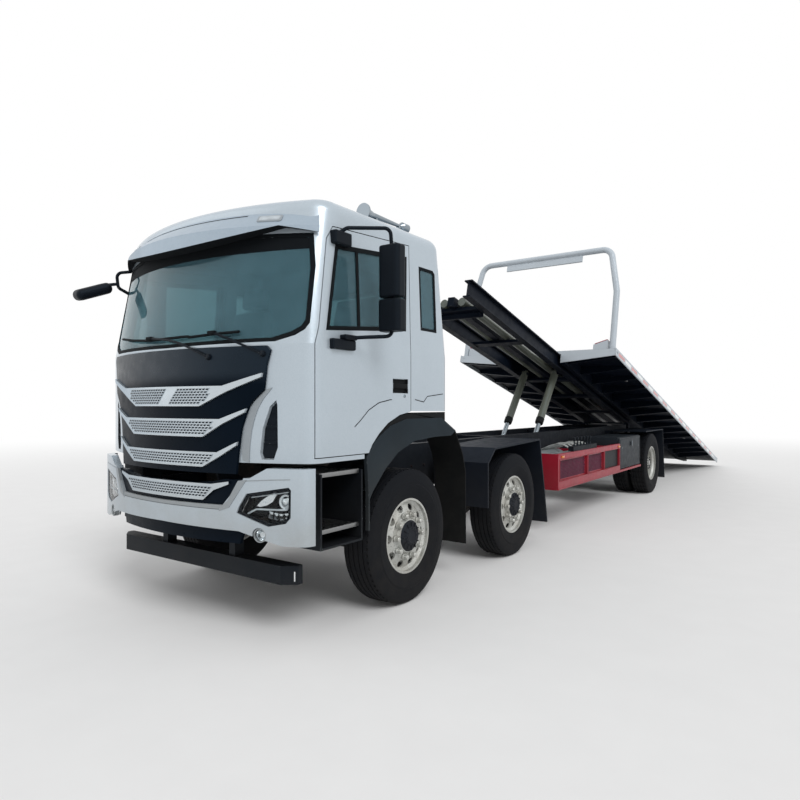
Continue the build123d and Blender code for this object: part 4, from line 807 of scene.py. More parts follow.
def fine(one, other, step=0.06):
    """Two lines of points with the same new points put between them, at most a step apart."""
    lines = ([], [])
    for index in range(len(one) - 1):
        run = math.dist(one[index], one[index + 1])
        count = max(1, math.ceil(run / step))
        for part in range(count):
            share = part / count
            for line, source in zip(lines, (one, other)):
                a, b = source[index], source[index + 1]
                line.append((a[0] + (b[0] - a[0]) * share, a[1] + (b[1] - a[1]) * share))
    lines[0].append(one[-1])
    lines[1].append(other[-1])
    return lines


def ribbon(bm, one, other, seat, thickness, towards, step=0.06):
    """A band between two lines, laid on a surface by seat(a, b) and made thick towards a direction."""
    old = set(bm.verts)
    edges = []
    for line in fine(one, other, step):
        verts = [bm.verts.new(seat(a, b)) for a, b in line]
        edges += [bm.edges.new(pair) for pair in zip(verts, verts[1:])]
    faces = bmesh.ops.bridge_loops(bm, edges=edges)["faces"]
    pushed = bmesh.ops.extrude_face_region(bm, geom=faces)["geom"]
    bmesh.ops.translate(bm, vec=Vector(towards) * thickness,
                        verts=vertices(pushed))
    return added(bm, old)


def on_face(face, proud):
    """Seat on the curved front of the cab or the bumper; face(x, proud) gives its Y."""
    return lambda x, z: Vector((x, face(x, proud), z))


def on_front(node, proud):
    """Seat on a node's front."""
    return lambda x, z: front_of(node, x, z, proud)


def on_side(node, side, proud):
    """Seat on a node's outer side."""
    return lambda station, z: side_of(node, side, station, z, proud)


def beside(x):
    """Seat on an upright plane along the truck."""
    return lambda station, z: Vector((x, at(station), z))


def flip(side, line):
    """A line of x and z, drawn for the left, on the given side."""
    return [(side * x, z) for x, z in line]


def border(bm, x, stations, heights, width, run, rise):
    """Beads along two heights, run long, and along two stations, rise tall."""
    for z in heights:
        block(bm, (0.008, run, width), (x, at(sum(stations) / 2), z), 0.003)
    for station in stations:
        block(bm, (0.008, width, rise), (x, at(station), sum(heights) / 2), 0.003)


def groove(line, half=0.003):
    """Both edges of a narrow line."""
    return [(a, b + half) for a, b in line], [(a, b - half) for a, b in line]


def mirrored(line):
    """Left half of an outline from the centre line outwards, carried on to the right half."""
    return [(-x, z) for x, z in reversed(line) if x] + list(line)


def inside(outline, x, z):
    """Whether a point lies within an outline."""
    hit = False
    for (x1, z1), (x2, z2) in zip(outline, outline[1:] + outline[:1]):
        if (z1 > z) != (z2 > z) and x < (x2 - x1) * (z - z1) / (z2 - z1) + x1:
            hit = not hit
    return hit


def pierced(bm, cells, pitch, rise, lean, seat, keep, rim, proud=0.003):
    """A thin skin with rows of leaning slots sunk in it, whose floors take the piece's second finish, a
    near-black that paints the shade seen through the openings.
    cells is columns, rows and the low corner; seat(a, b, proud) lays the skin on its carrier."""
    columns, rows, low_a, low_b = cells
    skin = bmesh.new()
    bmesh.ops.create_grid(skin, x_segments=columns, y_segments=rows, size=0.5)
    bmesh.ops.scale(skin, vec=(columns * pitch, rows * rise, 1), verts=skin.verts)
    middle_at = (low_a + columns * pitch / 2, low_b + rows * rise / 2, 0)
    bmesh.ops.translate(skin, vec=middle_at, verts=skin.verts)
    for v in skin.verts:
        v.co.x += lean * (v.co.y - low_b)
    spare = [f for f in skin.faces if not all(keep(v.co.x, v.co.y) for v in f.verts)]
    bmesh.ops.delete(skin, geom=spare, context="FACES")
    if not skin.faces:
        skin.free()
        return
    holes = list(skin.faces)
    border = [e for e in skin.edges if e.is_boundary]
    skirt = bmesh.ops.extrude_edge_only(skin, edges=border)["geom"]
    bmesh.ops.translate(skin, vec=(0, 0, -proud * 1.2),
                        verts=vertices(skirt))
    bmesh.ops.inset_individual(skin, faces=holes, thickness=rim, depth=0.0, use_even_offset=True)
    bmesh.ops.translate(skin, vec=(0, 0, -proud * 0.85), verts=list({v for f in holes for v in f.verts}))
    # the slot floors take the near-black second finish: painted shade of the openings
    for face in holes:
        face.material_index = 1
    for v in skin.verts:
        v.co = seat(v.co.x, v.co.y, proud + v.co.z)
    mesh = bpy.data.meshes.new("skin")
    skin.to_mesh(mesh)
    skin.free()
    bm.from_mesh(mesh)
    bpy.data.meshes.remove(mesh)


def pad_on(node, x, z, proud=0.0):
    """Place on a node's front whose local z looks straight out of the surface."""
    spot, normal = tree_of(node).ray_cast(Vector((x, at(-3.0), z)), Vector(BACKWARD))[:2]
    if normal.y > 0:
        normal = -normal
    return facing(spot + normal * proud, normal)


def cushion(bm, size, place, channels, crown=0.28):
    """A stuffed pad: crowned faces, sides that draw in, and sewn channels across its face."""
    old = set(bm.verts)
    bmesh.ops.create_cube(bm, size=2.0)
    inside_verts = set(added(bm, old))
    bmesh.ops.subdivide_edges(bm, edges=[e for e in bm.edges if e.verts[0] in inside_verts], cuts=14,
                              use_grid_fill=True)
    for v in added(bm, old):
        x, y, z = v.co
        draw = 1 - 0.06 * (1 - x * x) * abs(y) ** 4
        v.co = (x * math.sqrt(1 - crown * (y * y + z * z) / 2 + crown * crown * y * y * z * z / 3),
                y * draw * math.sqrt(1 - crown * (x * x + z * z) / 2 + crown * crown * x * x * z * z / 3),
                z * math.sqrt(1 - crown * (x * x + y * y) / 2 + crown * crown * x * x * y * y / 3))
        for index in range(channels):
            seam = -0.72 + 1.44 * index / max(1, channels - 1)
            v.co.z -= math.copysign(0.13 * math.exp(-((y - seam) / 0.07) ** 2), z) * (abs(z) > 0.4)
    bmesh.ops.scale(bm, vec=Vector(size) / 2, verts=added(bm, old))
    bmesh.ops.transform(bm, matrix=place, verts=added(bm, old))
    return added(bm, old)


def smoothed(made):
    """One level of subdivision, shown and rendered alike."""
    soft = made.modifiers.new("stuffing", "SUBSURF")
    soft.levels = 1
    soft.render_levels = 1
    return made


# ---------------------------------------------------------------- wheels
TYRE_HALF = [(0.105, 0.286), (0.112, 0.292), (0.119, 0.300), (0.121, 0.309), (0.127, 0.330),
             (0.134, 0.360), (0.1385, 0.392), (0.1397, 0.402), (0.139, 0.404), (0.136, 0.408),
             (0.137, 0.430), (0.1365, 0.432), (0.134, 0.455), (0.131, 0.476), (0.126, 0.492),
             (0.121, 0.508), (0.112, 0.519), (0.098, 0.524)]
GROOVES = ((0.067, 0.005), (0.023, 0.005))


def tyre_section(groove):
    """Radius and offset all round a tyre's section, from the inner bead to the outer bead and back."""
    half = list(TYRE_HALF)
    for middle_of, wide in GROOVES:
        half += [(middle_of + wide, 0.525), (middle_of + wide - 0.002, 0.525 - groove),
                 (middle_of - wide + 0.002, 0.525 - groove), (middle_of - wide, 0.525)]
    whole = [(-offset, radius) for offset, radius in half] + list(reversed(half))
    section = [(radius, offset) for offset, radius in whole]
    return section + [(0.292, 0.0), section[0]]


def tread(bm, place, sizes, lugs):
    """One tyre: ribbed tread, notched shoulders and rounded walls."""
    old = set(bm.verts)
    lathe(bm, tyre_section(sizes.groove_depth), Matrix.Identity(4), sizes.tread_steps)
    made = set(added(bm, old))
    step = math.tau / sizes.tread_steps
    notched = []
    for face in bm.faces:
        if face.verts[0] not in made:
            continue
        centre = face.calc_center_median()
        radius = math.hypot(centre.x, centre.y)
        turn = int((math.atan2(centre.y, centre.x) % math.tau) / step)
        shoulder = 0.515 < radius < 0.5235 and 0.1 < abs(centre.z) < 0.12
        lug = lugs and radius > 0.5225 and abs(centre.z) < 0.1 and turn % 4 == 0
        if (shoulder and turn % 2 == 0) or lug:
            notched.append(face)
    bmesh.ops.recalc_face_normals(bm, faces=[f for f in bm.faces if f.verts[0] in made])
    bmesh.ops.inset_individual(bm, faces=notched, thickness=0.003, depth=-0.008, use_even_offset=True)
    bmesh.ops.transform(bm, matrix=place, verts=added(bm, old))


class TOWTRUCK_OT_tyres(bpy.types.Operator):
    """Tyres with ribbed tread, notched shoulders and wall steps"""
    bl_idname = "towtruck.tyres"
    bl_label = "Tyres"

    def execute(self, context):
        sizes = context.scene.tow_truck_sizes
        for side_name, side in SIDES:
            for wheel, y in (("1", AXLE_1), ("2", AXLE_2)):
                bm = bmesh.new()
                tread(bm, wheel_place(STEER_X, y, side), sizes, lugs=False)
                body = f"wheel_{wheel}_{side_name}"
                made = piece(f"road_tyre_{wheel}_{side_name}", bm, body, "tyre")
                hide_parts(f"tyre_{wheel}_{side_name}")
            bm = bmesh.new()
            for x in TWIN_X:
                tread(bm, wheel_place(x, AXLE_3, side), sizes, lugs=True)
            made = piece(f"road_tyres_3_{side_name}", bm, f"wheels_3_{side_name}", "tyre")
            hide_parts(f"tyres_3_{side_name}")
        return {"FINISHED"}


# radius and height; from 0.72 on, the heights are shares of the nut's reach
NUT = [(0, 0), (0.024, 0), (0.024, 0.006), (0.0195, 0.009), (0.019, 0.72), (0.0165, 0.86), (0.010, 0.97),
       (0, 1.0)]
NUT_CIRCLE = 0.167
HOLE_CIRCLE = 0.2235


def nut_ring(bm, x, y, side, reach):
    """Ten capped nuts on a wheel's disc."""
    profile = [(radius, height if height < 0.01 else 0.02 + height * reach) for radius, height in NUT]
    for index in range(10):
        turn = Matrix.Rotation(math.tau * index / 10, 4, "Z")
        place = wheel_place(x, y, side) @ turn @ Matrix.Translation((NUT_CIRCLE, 0, 0))
        lathe(bm, profile, place, 14)


class TOWTRUCK_OT_rims(bpy.types.Operator):
    """Wheel discs with oval hand holes, capped nuts and finned hubs"""
    bl_idname = "towtruck.rims"
    bl_label = "Rims, nuts and hubs"

    def execute(self, context):
        sizes = context.scene.tow_truck_sizes
        for side_name, side in SIDES:
            # node, body, the wheel's x and y, seat of the nuts, and where the holes' cutter starts and stops
            wheels = [(f"rim_{wheel}_{side_name}", f"wheel_{wheel}_{side_name}", STEER_X, y, 0.102, 0.056,
                       0.13) for wheel, y in (("1", AXLE_1), ("2", AXLE_2))]
            wheels.append((f"rims_3_{side_name}", f"wheels_3_{side_name}", 0.845, AXLE_3, 0.026, 0.0, 0.15))
            for node, body, x, y, seat, low, high in wheels:
                cutter = bmesh.new()
                for index in range(10):
                    old = set(cutter.verts)
                    bmesh.ops.create_cone(cutter, cap_ends=True, segments=20, radius1=0.5, radius2=0.5,
                                          depth=high - low)
                    bmesh.ops.scale(cutter, vec=(0.055, sizes.hand_hole, 1), verts=added(cutter, old))
                    turn = Matrix.Rotation(math.tau * index / 10, 4, "Z")
                    place = wheel_place(x, y, side) @ turn
                    place = place @ Matrix.Translation((HOLE_CIRCLE, 0, (low + high) / 2))
                    bmesh.ops.transform(cutter, matrix=place, verts=added(cutter, old))
                disc = carve(copy_of(node), cutter)
                made = piece(f"disc_{node}", disc, body, "rim_silver")
                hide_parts(node)
                bm = bmesh.new()
                nut_ring(bm, x + seat, y, side, sizes.nut_reach)
                piece(f"nuts_{node}", bm, body, "rim_silver")
                bm = bmesh.new()
                steered = x == STEER_X
                back = 0.046 if steered else -0.003
                inner, outer = HOLE_CIRCLE - 0.007, HOLE_CIRCLE + 0.026
                lathe(bm, [(inner, back), (outer, back), (outer, back + 0.006), (inner, back + 0.006),
                           (inner, back)], wheel_place(x, y, side))
                piece(f"hole_shade_{node}", bm, body, "frame_paint")
                self.hub(node, body, x, y, side, steered)
        return {"FINISHED"}

    def hub(self, node, body, x, y, side, steered):
        """Finned hub with its cover bolts; reach is how far it stands out from the wheel's place."""
        bm = bmesh.new()
        reach, outer, face = (0.128, 0.118, 0.139) if steered else (0.222, 0.104, 0.222)
        lathe(bm, [(0, reach - 0.02), (outer + 0.004, reach - 0.02), (outer + 0.004, reach - 0.006),
                   (outer - 0.008, face - 0.005), (0.078, face), (0.072, face + 0.008),
                   (0.05, face + 0.011), (0.044, face + 0.006), (0, face + 0.006)],
              wheel_place(x, y, side), 40)
        for index in range(12):
            turn = Matrix.Rotation(math.tau * index / 12, 4, "Z")
            fin = wheel_place(x, y, side) @ turn @ Matrix.Translation((0.092, 0, face))
            block(bm, (0.036, 0.007, 0.016), fin, 0.0015, 1)
            bolt = wheel_place(x, y, side) @ turn @ Matrix.Translation((0.062, 0, face + 0.006))
            lathe(bm, [(0, 0), (0.0065, 0), (0.0065, 0.006), (0.004, 0.008), (0, 0.008)], bolt, 8)
        piece(f"hub_{node}", bm, body, "guard_dark")


# ---------------------------------------------------------------- front
STRIPS = (
    [(0, 1.680), (0.560, 1.680), (0.848, 1.760), (0.844, 1.734), (0.590, 1.640), (0.370, 1.545),
     (0, 1.545)],
    [(0, 1.460), (0.540, 1.460), (0.740, 1.530), (0.728, 1.504), (0.560, 1.428), (0.400, 1.340),
     (0, 1.340)],
    [(0, 1.240), (0.520, 1.240), (0.676, 1.312), (0.668, 1.288), (0.540, 1.212), (0.400, 1.140),
     (0, 1.140)])
LOW_STRIP = [(0, 1.030), (0.480, 1.030), (0.620, 1.052), (0.620, 1.034), (0.500, 0.990), (0.410, 0.920),
             (0, 0.920)]


SLOT_RISE = 0.60                # rows of slots stand this share of the pitch apart
SLOT_LEAN = 0.9
SLOT_RIM = 0.13                 # the bars between slots, as a share of the pitch
STRIP_REACH = 0.53              # half the width that the slots' grid covers


class TOWTRUCK_OT_grille(bpy.types.Operator):
    """Slotted skins on the winged strips, the notch frame, the bands beside the lid and the corner vents"""
    bl_idname = "towtruck.grille"
    bl_label = "Grille"

    def execute(self, context):
        pitch = context.scene.tow_truck_sizes.slot_pitch
        rise = pitch * SLOT_RISE
        plate_top = [(0, 1.030), (0.410, 1.030), (0.480, 1.030), (0.620, 1.052)]
        plate_low = [(0, 0.920), (0.410, 0.920), (0.500, 0.990), (0.620, 1.034)]
        bm = bmesh.new()
        sunk = bumper_face(0.0) - front_of("front_valance", 0.0, 0.975).y
        ribbon(bm, mirrored(plate_top), mirrored(plate_low),
               on_face(bumper_face, sunk - 0.002), 0.005, FORWARD, 0.03)
        piece("low_strip", bm, "chassis", "strip_paint")
        for body, node, outlines in (("front_lid", "grille_strips", STRIPS),
                                     ("chassis", "front_valance", [LOW_STRIP])):
            bm = bmesh.new()
            for number, outline in enumerate(outlines):
                low, high = outline[-1][1], outline[0][1]
                rows = math.floor((high - low - 0.024) / rise)
                start = low + (high - low - rows * rise) / 2
                lean = SLOT_LEAN * (high - low)
                columns = math.ceil((2 * STRIP_REACH + lean) / pitch)
                reach = outline[-2][0] + 0.105
                bare = 0.05 if node == "grille_strips" and number == 0 else 0.0
                whole = mirrored(outline)

                def keep(x, z):
                    if abs(x - SLOT_LEAN * (z - start)) < bare or abs(x) > reach:
                        return False
                    return inside(whole, x - 0.012, z) and inside(whole, x + 0.012, z)

                def seat(x, z, proud):
                    if node == "front_valance":
                        return Vector((x, bumper_face(x, sunk + 0.003 + proud), z))
                    return front_of(node, x, z, proud)
                pierced(bm, (columns, rows, -STRIP_REACH - lean, start), pitch, rise, SLOT_LEAN, seat, keep,
                        pitch * SLOT_RIM)
            # slot floors in the lid lacquer: painted shade seen through the openings
            piece(f"slots_{node}", bm, body, ["strip_paint", "lid_paint"])
        self.notch_frame()
        self.side_bands()
        self.vents()
        return {"FINISHED"}

    def notch_frame(self):
        """Bevelled grey edge round the dark opening in the bumper."""
        bm = bmesh.new()
        ribbon(bm, mirrored([(0, 0.868), (0.552, 0.868)]), mirrored([(0, 0.892), (0.580, 0.896)]),
               on_face(bumper_face, -0.022), 0.020, FORWARD)
        for side in (1, -1):
            ribbon(bm, flip(side, [(0.552, 0.857), (0.633, 0.885), (0.762, 1.070)]),
                   flip(side, [(0.580, 0.896), (0.621, 0.929), (0.700, 1.062)]),
                   on_face(bumper_face, -0.014), 0.018, FORWARD)
        piece("notch_frame", bm, "chassis", "trim_paint")
        bm = bmesh.new()
        for side in (1, -1):
            line = flip(side, [(0.752, 1.062), (0.86, 1.070), (0.96, 1.076), (1.05, 1.080)])
            ribbon(bm, *groove(line), on_front("bumper", -0.002), 0.004, FORWARD)
        piece("bumper_crease", bm, "chassis", "trim_paint")

    def side_bands(self):
        """Grey bands that frame the dark lid on the cab's corners."""
        bm = bmesh.new()
        lid_side = [(0.690, 1.190), (0.683, 1.250), (0.688, 1.320), (0.702, 1.402), (0.724, 1.468),
                    (0.753, 1.540), (0.781, 1.582), (0.856, 1.654)]
        cab_side = [(0.737, 1.177), (0.738, 1.245), (0.743, 1.314), (0.754, 1.390), (0.772, 1.460),
                    (0.797, 1.530), (0.832, 1.590), (0.893, 1.666)]
        for side in (1, -1):
            ribbon(bm, flip(side, lid_side), flip(side, cab_side),
                   on_face(cab_face, -0.004), 0.010, FORWARD)
        piece("lid_bands", bm, "cab", "trim_paint")

    def vents(self):
        """Dark linings and slats in the corner vents."""
        bm = bmesh.new()
        outline = [(0.912, 1.578), (0.920, 1.550), (0.922, 1.282), (0.898, 1.206), (0.824, 1.206),
                   (0.813, 1.240), (0.830, 1.400), (0.876, 1.540)]
        for side in (1, -1):
            ribbon(bm, flip(side, outline[:4]), flip(side, reversed(outline[4:])),
                   on_face(cab_face, -0.0205), 0.004, FORWARD, 0.03)
            for low, left, right in ((1.302, 0.827, 0.916), (1.402, 0.843, 0.916), (1.500, 0.876, 0.914)):
                ribbon(bm, [(side * left, low), (side * right, low)],
                       [(side * left, low + 0.016), (side * right, low + 0.016)],
                       on_face(cab_face, -0.020), 0.012, FORWARD, 0.03)
        piece("corner_vents", bm, "cab", "black_plastic")


class TOWTRUCK_OT_headlamps(bpy.types.Operator):
    """Bowls, projector, light guide and rims behind the lamp covers, and the fog lamps"""
    bl_idname = "towtruck.headlamps"
    bl_label = "Headlamps and fog lamps"

    def execute(self, context):
        dark, bright, guide, rings = (bmesh.new() for _ in range(4))
        for side in (1, -1):
            def lamp(x, z, back):
                return facing((side * x, bumper_face(x, -back), z), (side * x * 0.35, -1, 0))

            def band(bm, one, other, proud, thickness, step=0.06):
                ribbon(bm, flip(side, one), flip(side, other), on_face(bumper_face, proud), thickness,
                       FORWARD, step)

            # black rim along the lamp's outline, and the dark back of its opening
            rim = [(0.686, 0.852), (0.703, 0.893), (0.757, 0.980), (1.040, 1.030), (1.055, 1.012),
                   (1.053, 0.838), (1.023, 0.800), (0.906, 0.775), (0.686, 0.852)]
            inner = [(0.712, 0.858), (0.724, 0.888), (0.770, 0.962), (1.022, 1.006), (1.034, 1.000),
                     (1.033, 0.846), (1.012, 0.822), (0.908, 0.798), (0.712, 0.858)]
            band(dark, rim, inner, -0.022, 0.014)
            band(dark, [(0.700, 0.850), (0.757, 0.975), (1.045, 1.022)],
                 [(0.906, 0.785), (0.960, 0.800), (1.045, 0.838)], -0.112, 0.006, 0.05)
            # light guide under the top edge, and the line above it
            band(guide, [(0.738, 0.851), (0.800, 0.884), (0.986, 0.886), (1.030, 0.950)],
                 [(0.738, 0.841), (0.802, 0.874), (0.998, 0.876), (1.042, 0.940)], -0.050, 0.014, 0.03)
            band(guide, [(0.775, 0.958), (1.022, 1.000)],
                 [(0.777, 0.952), (1.022, 0.994)], -0.030, 0.006, 0.04)
            # bright blade and the projector
            band(bright, [(0.793, 0.898), (0.820, 0.930), (0.862, 0.961), (0.912, 0.987)],
                 [(0.815, 0.892), (0.862, 0.905), (0.900, 0.930), (0.925, 0.975)], -0.070, 0.016, 0.03)
            lathe(bright, [(0, 0.0), (0.046, 0.0), (0.052, 0.03), (0.048, 0.034), (0.036, 0.030),
                           (0.026, 0.036), (0.014, 0.044), (0, 0.047)], lamp(0.965, 0.928, 0.100), 32)
            # lower bowl: facets fanned round the bulb
            for index, (x, z) in enumerate(((0.870, 0.842), (0.905, 0.834), (0.940, 0.830), (0.975, 0.834),
                                            (1.006, 0.846))):
                place = lamp(x, z, 0.085) @ Matrix.Rotation(math.radians(8 * index - 16), 4, "Z")
                panel(bright, 0.031, 0.052, 0.014, place @ Matrix.Rotation(math.radians(14), 4, "X"),
                      0.004, 0.003)
            # fog lamp: bowl and ring
            lathe(bright, [(0, -0.010), (0.018, -0.008), (0.030, 0.004), (0.034, 0.012), (0.036, 0.012),
                           (0.036, -0.014), (0, -0.014)], lamp(0.846, 0.716, 0.030), 28)
            lathe(rings, [(0.036, -0.02), (0.046, -0.02), (0.047, 0.014), (0.043, 0.018), (0.039, 0.016),
                          (0.037, 0.004), (0.036, -0.02)], lamp(0.846, 0.716, 0.018), 32)
        piece("lamp_bowls", bright, "chassis", "reflector")
        piece("fog_rings", rings, "chassis", "trim_paint")
        piece("lamp_rims", dark, "chassis", "black_plastic")
        piece("lamp_guides", guide, "chassis", "pale_lens")
        return {"FINISHED"}


SCREEN_EDGE = [(0, 1.957), (0.903, 1.969), (1.023, 2.007), (1.078, 2.043), (1.098, 2.085), (1.083, 2.467),
               (1.049, 2.686), (0, 2.724)]


class TOWTRUCK_OT_windscreen(bpy.types.Operator):
    """Rubber round the windscreen, the dark band under the visor, partly a black frit band and partly the
    visor's painted shadow, and the wipers
    """
    bl_idname = "towtruck.windscreen"
    bl_label = "Windscreen and wipers"

    def execute(self, context):
        sizes = context.scene.tow_truck_sizes
        bm = bmesh.new()
        centre_x, centre_z = 0.0, 2.33
        bead = sizes.bead
        edge = mirrored(SCREEN_EDGE[:-1]) + [SCREEN_EDGE[-1]]
        edge.append(edge[0])
        lip = []
        for x, z in edge:
            lip.append((x - math.copysign(min(abs(x), bead), x) if abs(x) > 0.5 else x,
                        z + bead * (1 if z < centre_z else -1)))
        ribbon(bm, edge, lip, on_front("cab_glass", 0.001), 0.007, FORWARD, 0.08)
        piece("screen_seal", bm, "cab", "seal_rubber")
        bm = bmesh.new()
        # dark band across the top of the glass: partly a black frit band, partly the visor's shadow painted
        # on
        ribbon(bm, mirrored([(0, 2.580), (0.7, 2.582), (1.035, 2.585)]),
               mirrored([(0, 2.700), (0.7, 2.690), (1.030, 2.660)]),
               on_front("cab_glass", 0.0004), 0.002, FORWARD, 0.07)
        piece("screen_band", bm, "cab", "seal_rubber")
        arms, blades = bmesh.new(), bmesh.new()
        for arm, blade in (
                ([(0.845, 1.884), (0.754, 1.925), (0.589, 1.997), (0.457, 2.038)],
                 [(0.237, 2.016), (0.459, 2.028), (0.661, 2.036)]),
                ([(0.439, 1.873), (0.283, 1.944), (0.060, 2.011), (-0.195, 2.034)],
                 [(-0.759, 2.074), (-0.480, 2.040), (-0.195, 2.019), (0.235, 2.024)])):
            hose(arms, [self.over(x, z, 0.040) for x, z in arm], 0.0085)
            lathe(arms, [(0, -0.04), (0.022, -0.04), (0.020, 0.012), (0.014, 0.018), (0, 0.020)],
                  facing(self.over(*arm[0], 0.030), (0, -1, 0.2)), 20)
            for height, depth in ((sizes.blade, 0.010), (sizes.blade * 0.45, 0.022)):
                low, high = groove(blade, -height / 2)
                ribbon(blades, low, high, lambda x, z: self.over(x, z, 0.024 - depth * 0.4), depth,
                       FORWARD, 0.05)
            block(blades, (0.07, 0.03, 0.024), self.over(*arm[-1], 0.038), 0.006)
        piece("wiper_arms", arms, "cab", "black_plastic")
        piece("wiper_blades", blades, "cab", "seal_rubber")
        return {"FINISHED"}

    def over(self, x, z, proud):
        """A point in front of the screen or of the panel below it."""
        lean = RAKE * max(0.0, z - BELT_Z)
        return Vector((x, max(cab_face(x, proud - 0.008) + lean, at(-1.447)), z))


class TOWTRUCK_OT_visor(bpy.types.Operator):
    """Marker lamps and the fine line of the roof visor"""
    bl_idname = "towtruck.visor"
    bl_label = "Roof visor"

    def execute(self, context):
        shells, lenses, line = bmesh.new(), bmesh.new(), bmesh.new()
        for side in (1, -1):
            place = pad_on("roof_visor", side * 0.779, 2.797, -0.006)
            panel(shells, 0.176, 0.074, 0.012, place, 0.016, 0.004)
            panel(lenses, 0.146, 0.050, 0.015, place, 0.012, 0.004)
        ribbon(line, [(-0.586, 2.838), (0.586, 2.838)], [(-0.586, 2.845), (0.586, 2.845)],
               on_front("roof_visor", -0.002), 0.004, FORWARD)
        piece("marker_shells", shells, "cab", "trim_paint")
        piece("marker_lenses", lenses, "cab", "pale_lens")
        piece("visor_line", line, "cab", "seal_rubber")
        return {"FINISHED"}


# ---------------------------------------------------------------- sides
MIRRORS = ((2.290, 2.649, 0.172), (2.057, 2.278, 0.180))        # foot, head and width of each housing
MIRROR_X = 1.376
HANDLE = (-0.17, 1.697)                                         # station and height of its middle


class TOWTRUCK_OT_doors(bpy.types.Operator):
    """Window seals and dividers, handles, locks, creases and mirror glass"""
    bl_idname = "towtruck.doors"
    bl_label = "Doors and mirrors"

    def execute(self, context):
        for side_name, side in SIDES:
            body, pane = f"door_{side_name}", f"door_glass_{side_name}"

            out = (side, 0, 0)
            on_pane, on_door = on_side(pane, side, 0.001), on_side(body, side, -0.001)
            bm = bmesh.new()
            edge = [(-1.006, 2.044), (-0.889, 2.633), (-0.047, 2.707), (-0.087, 2.124), (-1.006, 2.044)]
            lip = [(-0.970, 2.074), (-0.862, 2.605), (-0.078, 2.674), (-0.114, 2.152), (-0.970, 2.074)]
            ribbon(bm, edge, lip, on_pane, 0.007, out, 0.1)
            ribbon(bm, [(-0.674, 2.10), (-0.674, 2.628)], [(-0.646, 2.10), (-0.646, 2.630)], on_pane, 0.006,
                   out)
            # creases pressed into the door, drawn as dark lines of painted shade
            crease = [(-0.718, 1.402), (-0.653, 1.446), (-0.562, 1.517), (-0.442, 1.570), (-0.307, 1.592),
                      (-0.282, 1.593)]
            ribbon(bm, *groove(crease), on_door, 0.003, out)
            # cup behind the handle, the cup's ends and the grip
            station, z = HANDLE
            block(bm, (0.003, 0.194, 0.104), (side * 1.1335, at(station), z))
            for offset in (-0.0965, 0.0965):
                block(bm, (0.016, 0.004, 0.106), (side * 1.1405, at(station + offset), z), 0.001)
            block(bm, (0.014, 0.190, 0.037), (side * 1.1460, at(station), z), 0.005, 3)
            piece(f"door_trim_{side_name}", bm, body, "seal_rubber")
            bm = bmesh.new()
            lathe(bm, [(0, -0.004), (0.014, -0.004), (0.013, 0.003), (0.009, 0.004), (0.008, 0.001),
                       (0, 0.001)], facing(side_of(body, side, -0.116, 1.621), out), 24)
            piece(f"door_lock_{side_name}", bm, body, "chrome")
            # silvered glass on the rear of both mirror housings
            bm = bmesh.new()
            for low, high, wide in MIRRORS:
                place = facing((side * MIRROR_X, at(-0.534) - 0.001, (low + high) / 2), BACKWARD)
                panel(bm, wide - 0.040, high - low - 0.034, 0.003, place, 0.022, 0.0012)
            piece(f"mirror_glass_{side_name}", bm, body, "mirror_face")
            bm = bmesh.new()
            for low, high, wide in MIRRORS:
                for z in (low + 0.03, high - 0.03):
                    block(bm, (wide - 0.002, 0.0715, 0.004), (side * MIRROR_X, at(-0.59), z), 0.0015)
            piece(f"mirror_seams_{side_name}", bm, body, "seal_rubber")
        bm = bmesh.new()
        for side in (1, -1):
            # crease on the cab's rear corner, drawn as a dark line of painted shade
            line = [(0.030, 1.596), (0.151, 1.577), (0.206, 1.623), (0.445, 1.646)]
            ribbon(bm, *groove(line), on_side("cab_shell", side, -0.001), 0.003, (side, 0, 0), 0.04)
            edge = [(0.122, 2.152), (0.122, 2.663), (0.330, 2.663), (0.358, 2.639), (0.358, 2.152),
                    (0.122, 2.152)]
            lip = [(0.144, 2.174), (0.144, 2.641), (0.321, 2.641), (0.336, 2.628), (0.336, 2.174),
                   (0.144, 2.174)]
            ribbon(bm, edge, lip, on_side("cab_glass", side, 0.001), 0.006, (side, 0, 0), 0.1)
        piece("cab_side_trim", bm, "cab", "seal_rubber")
        return {"FINISHED"}


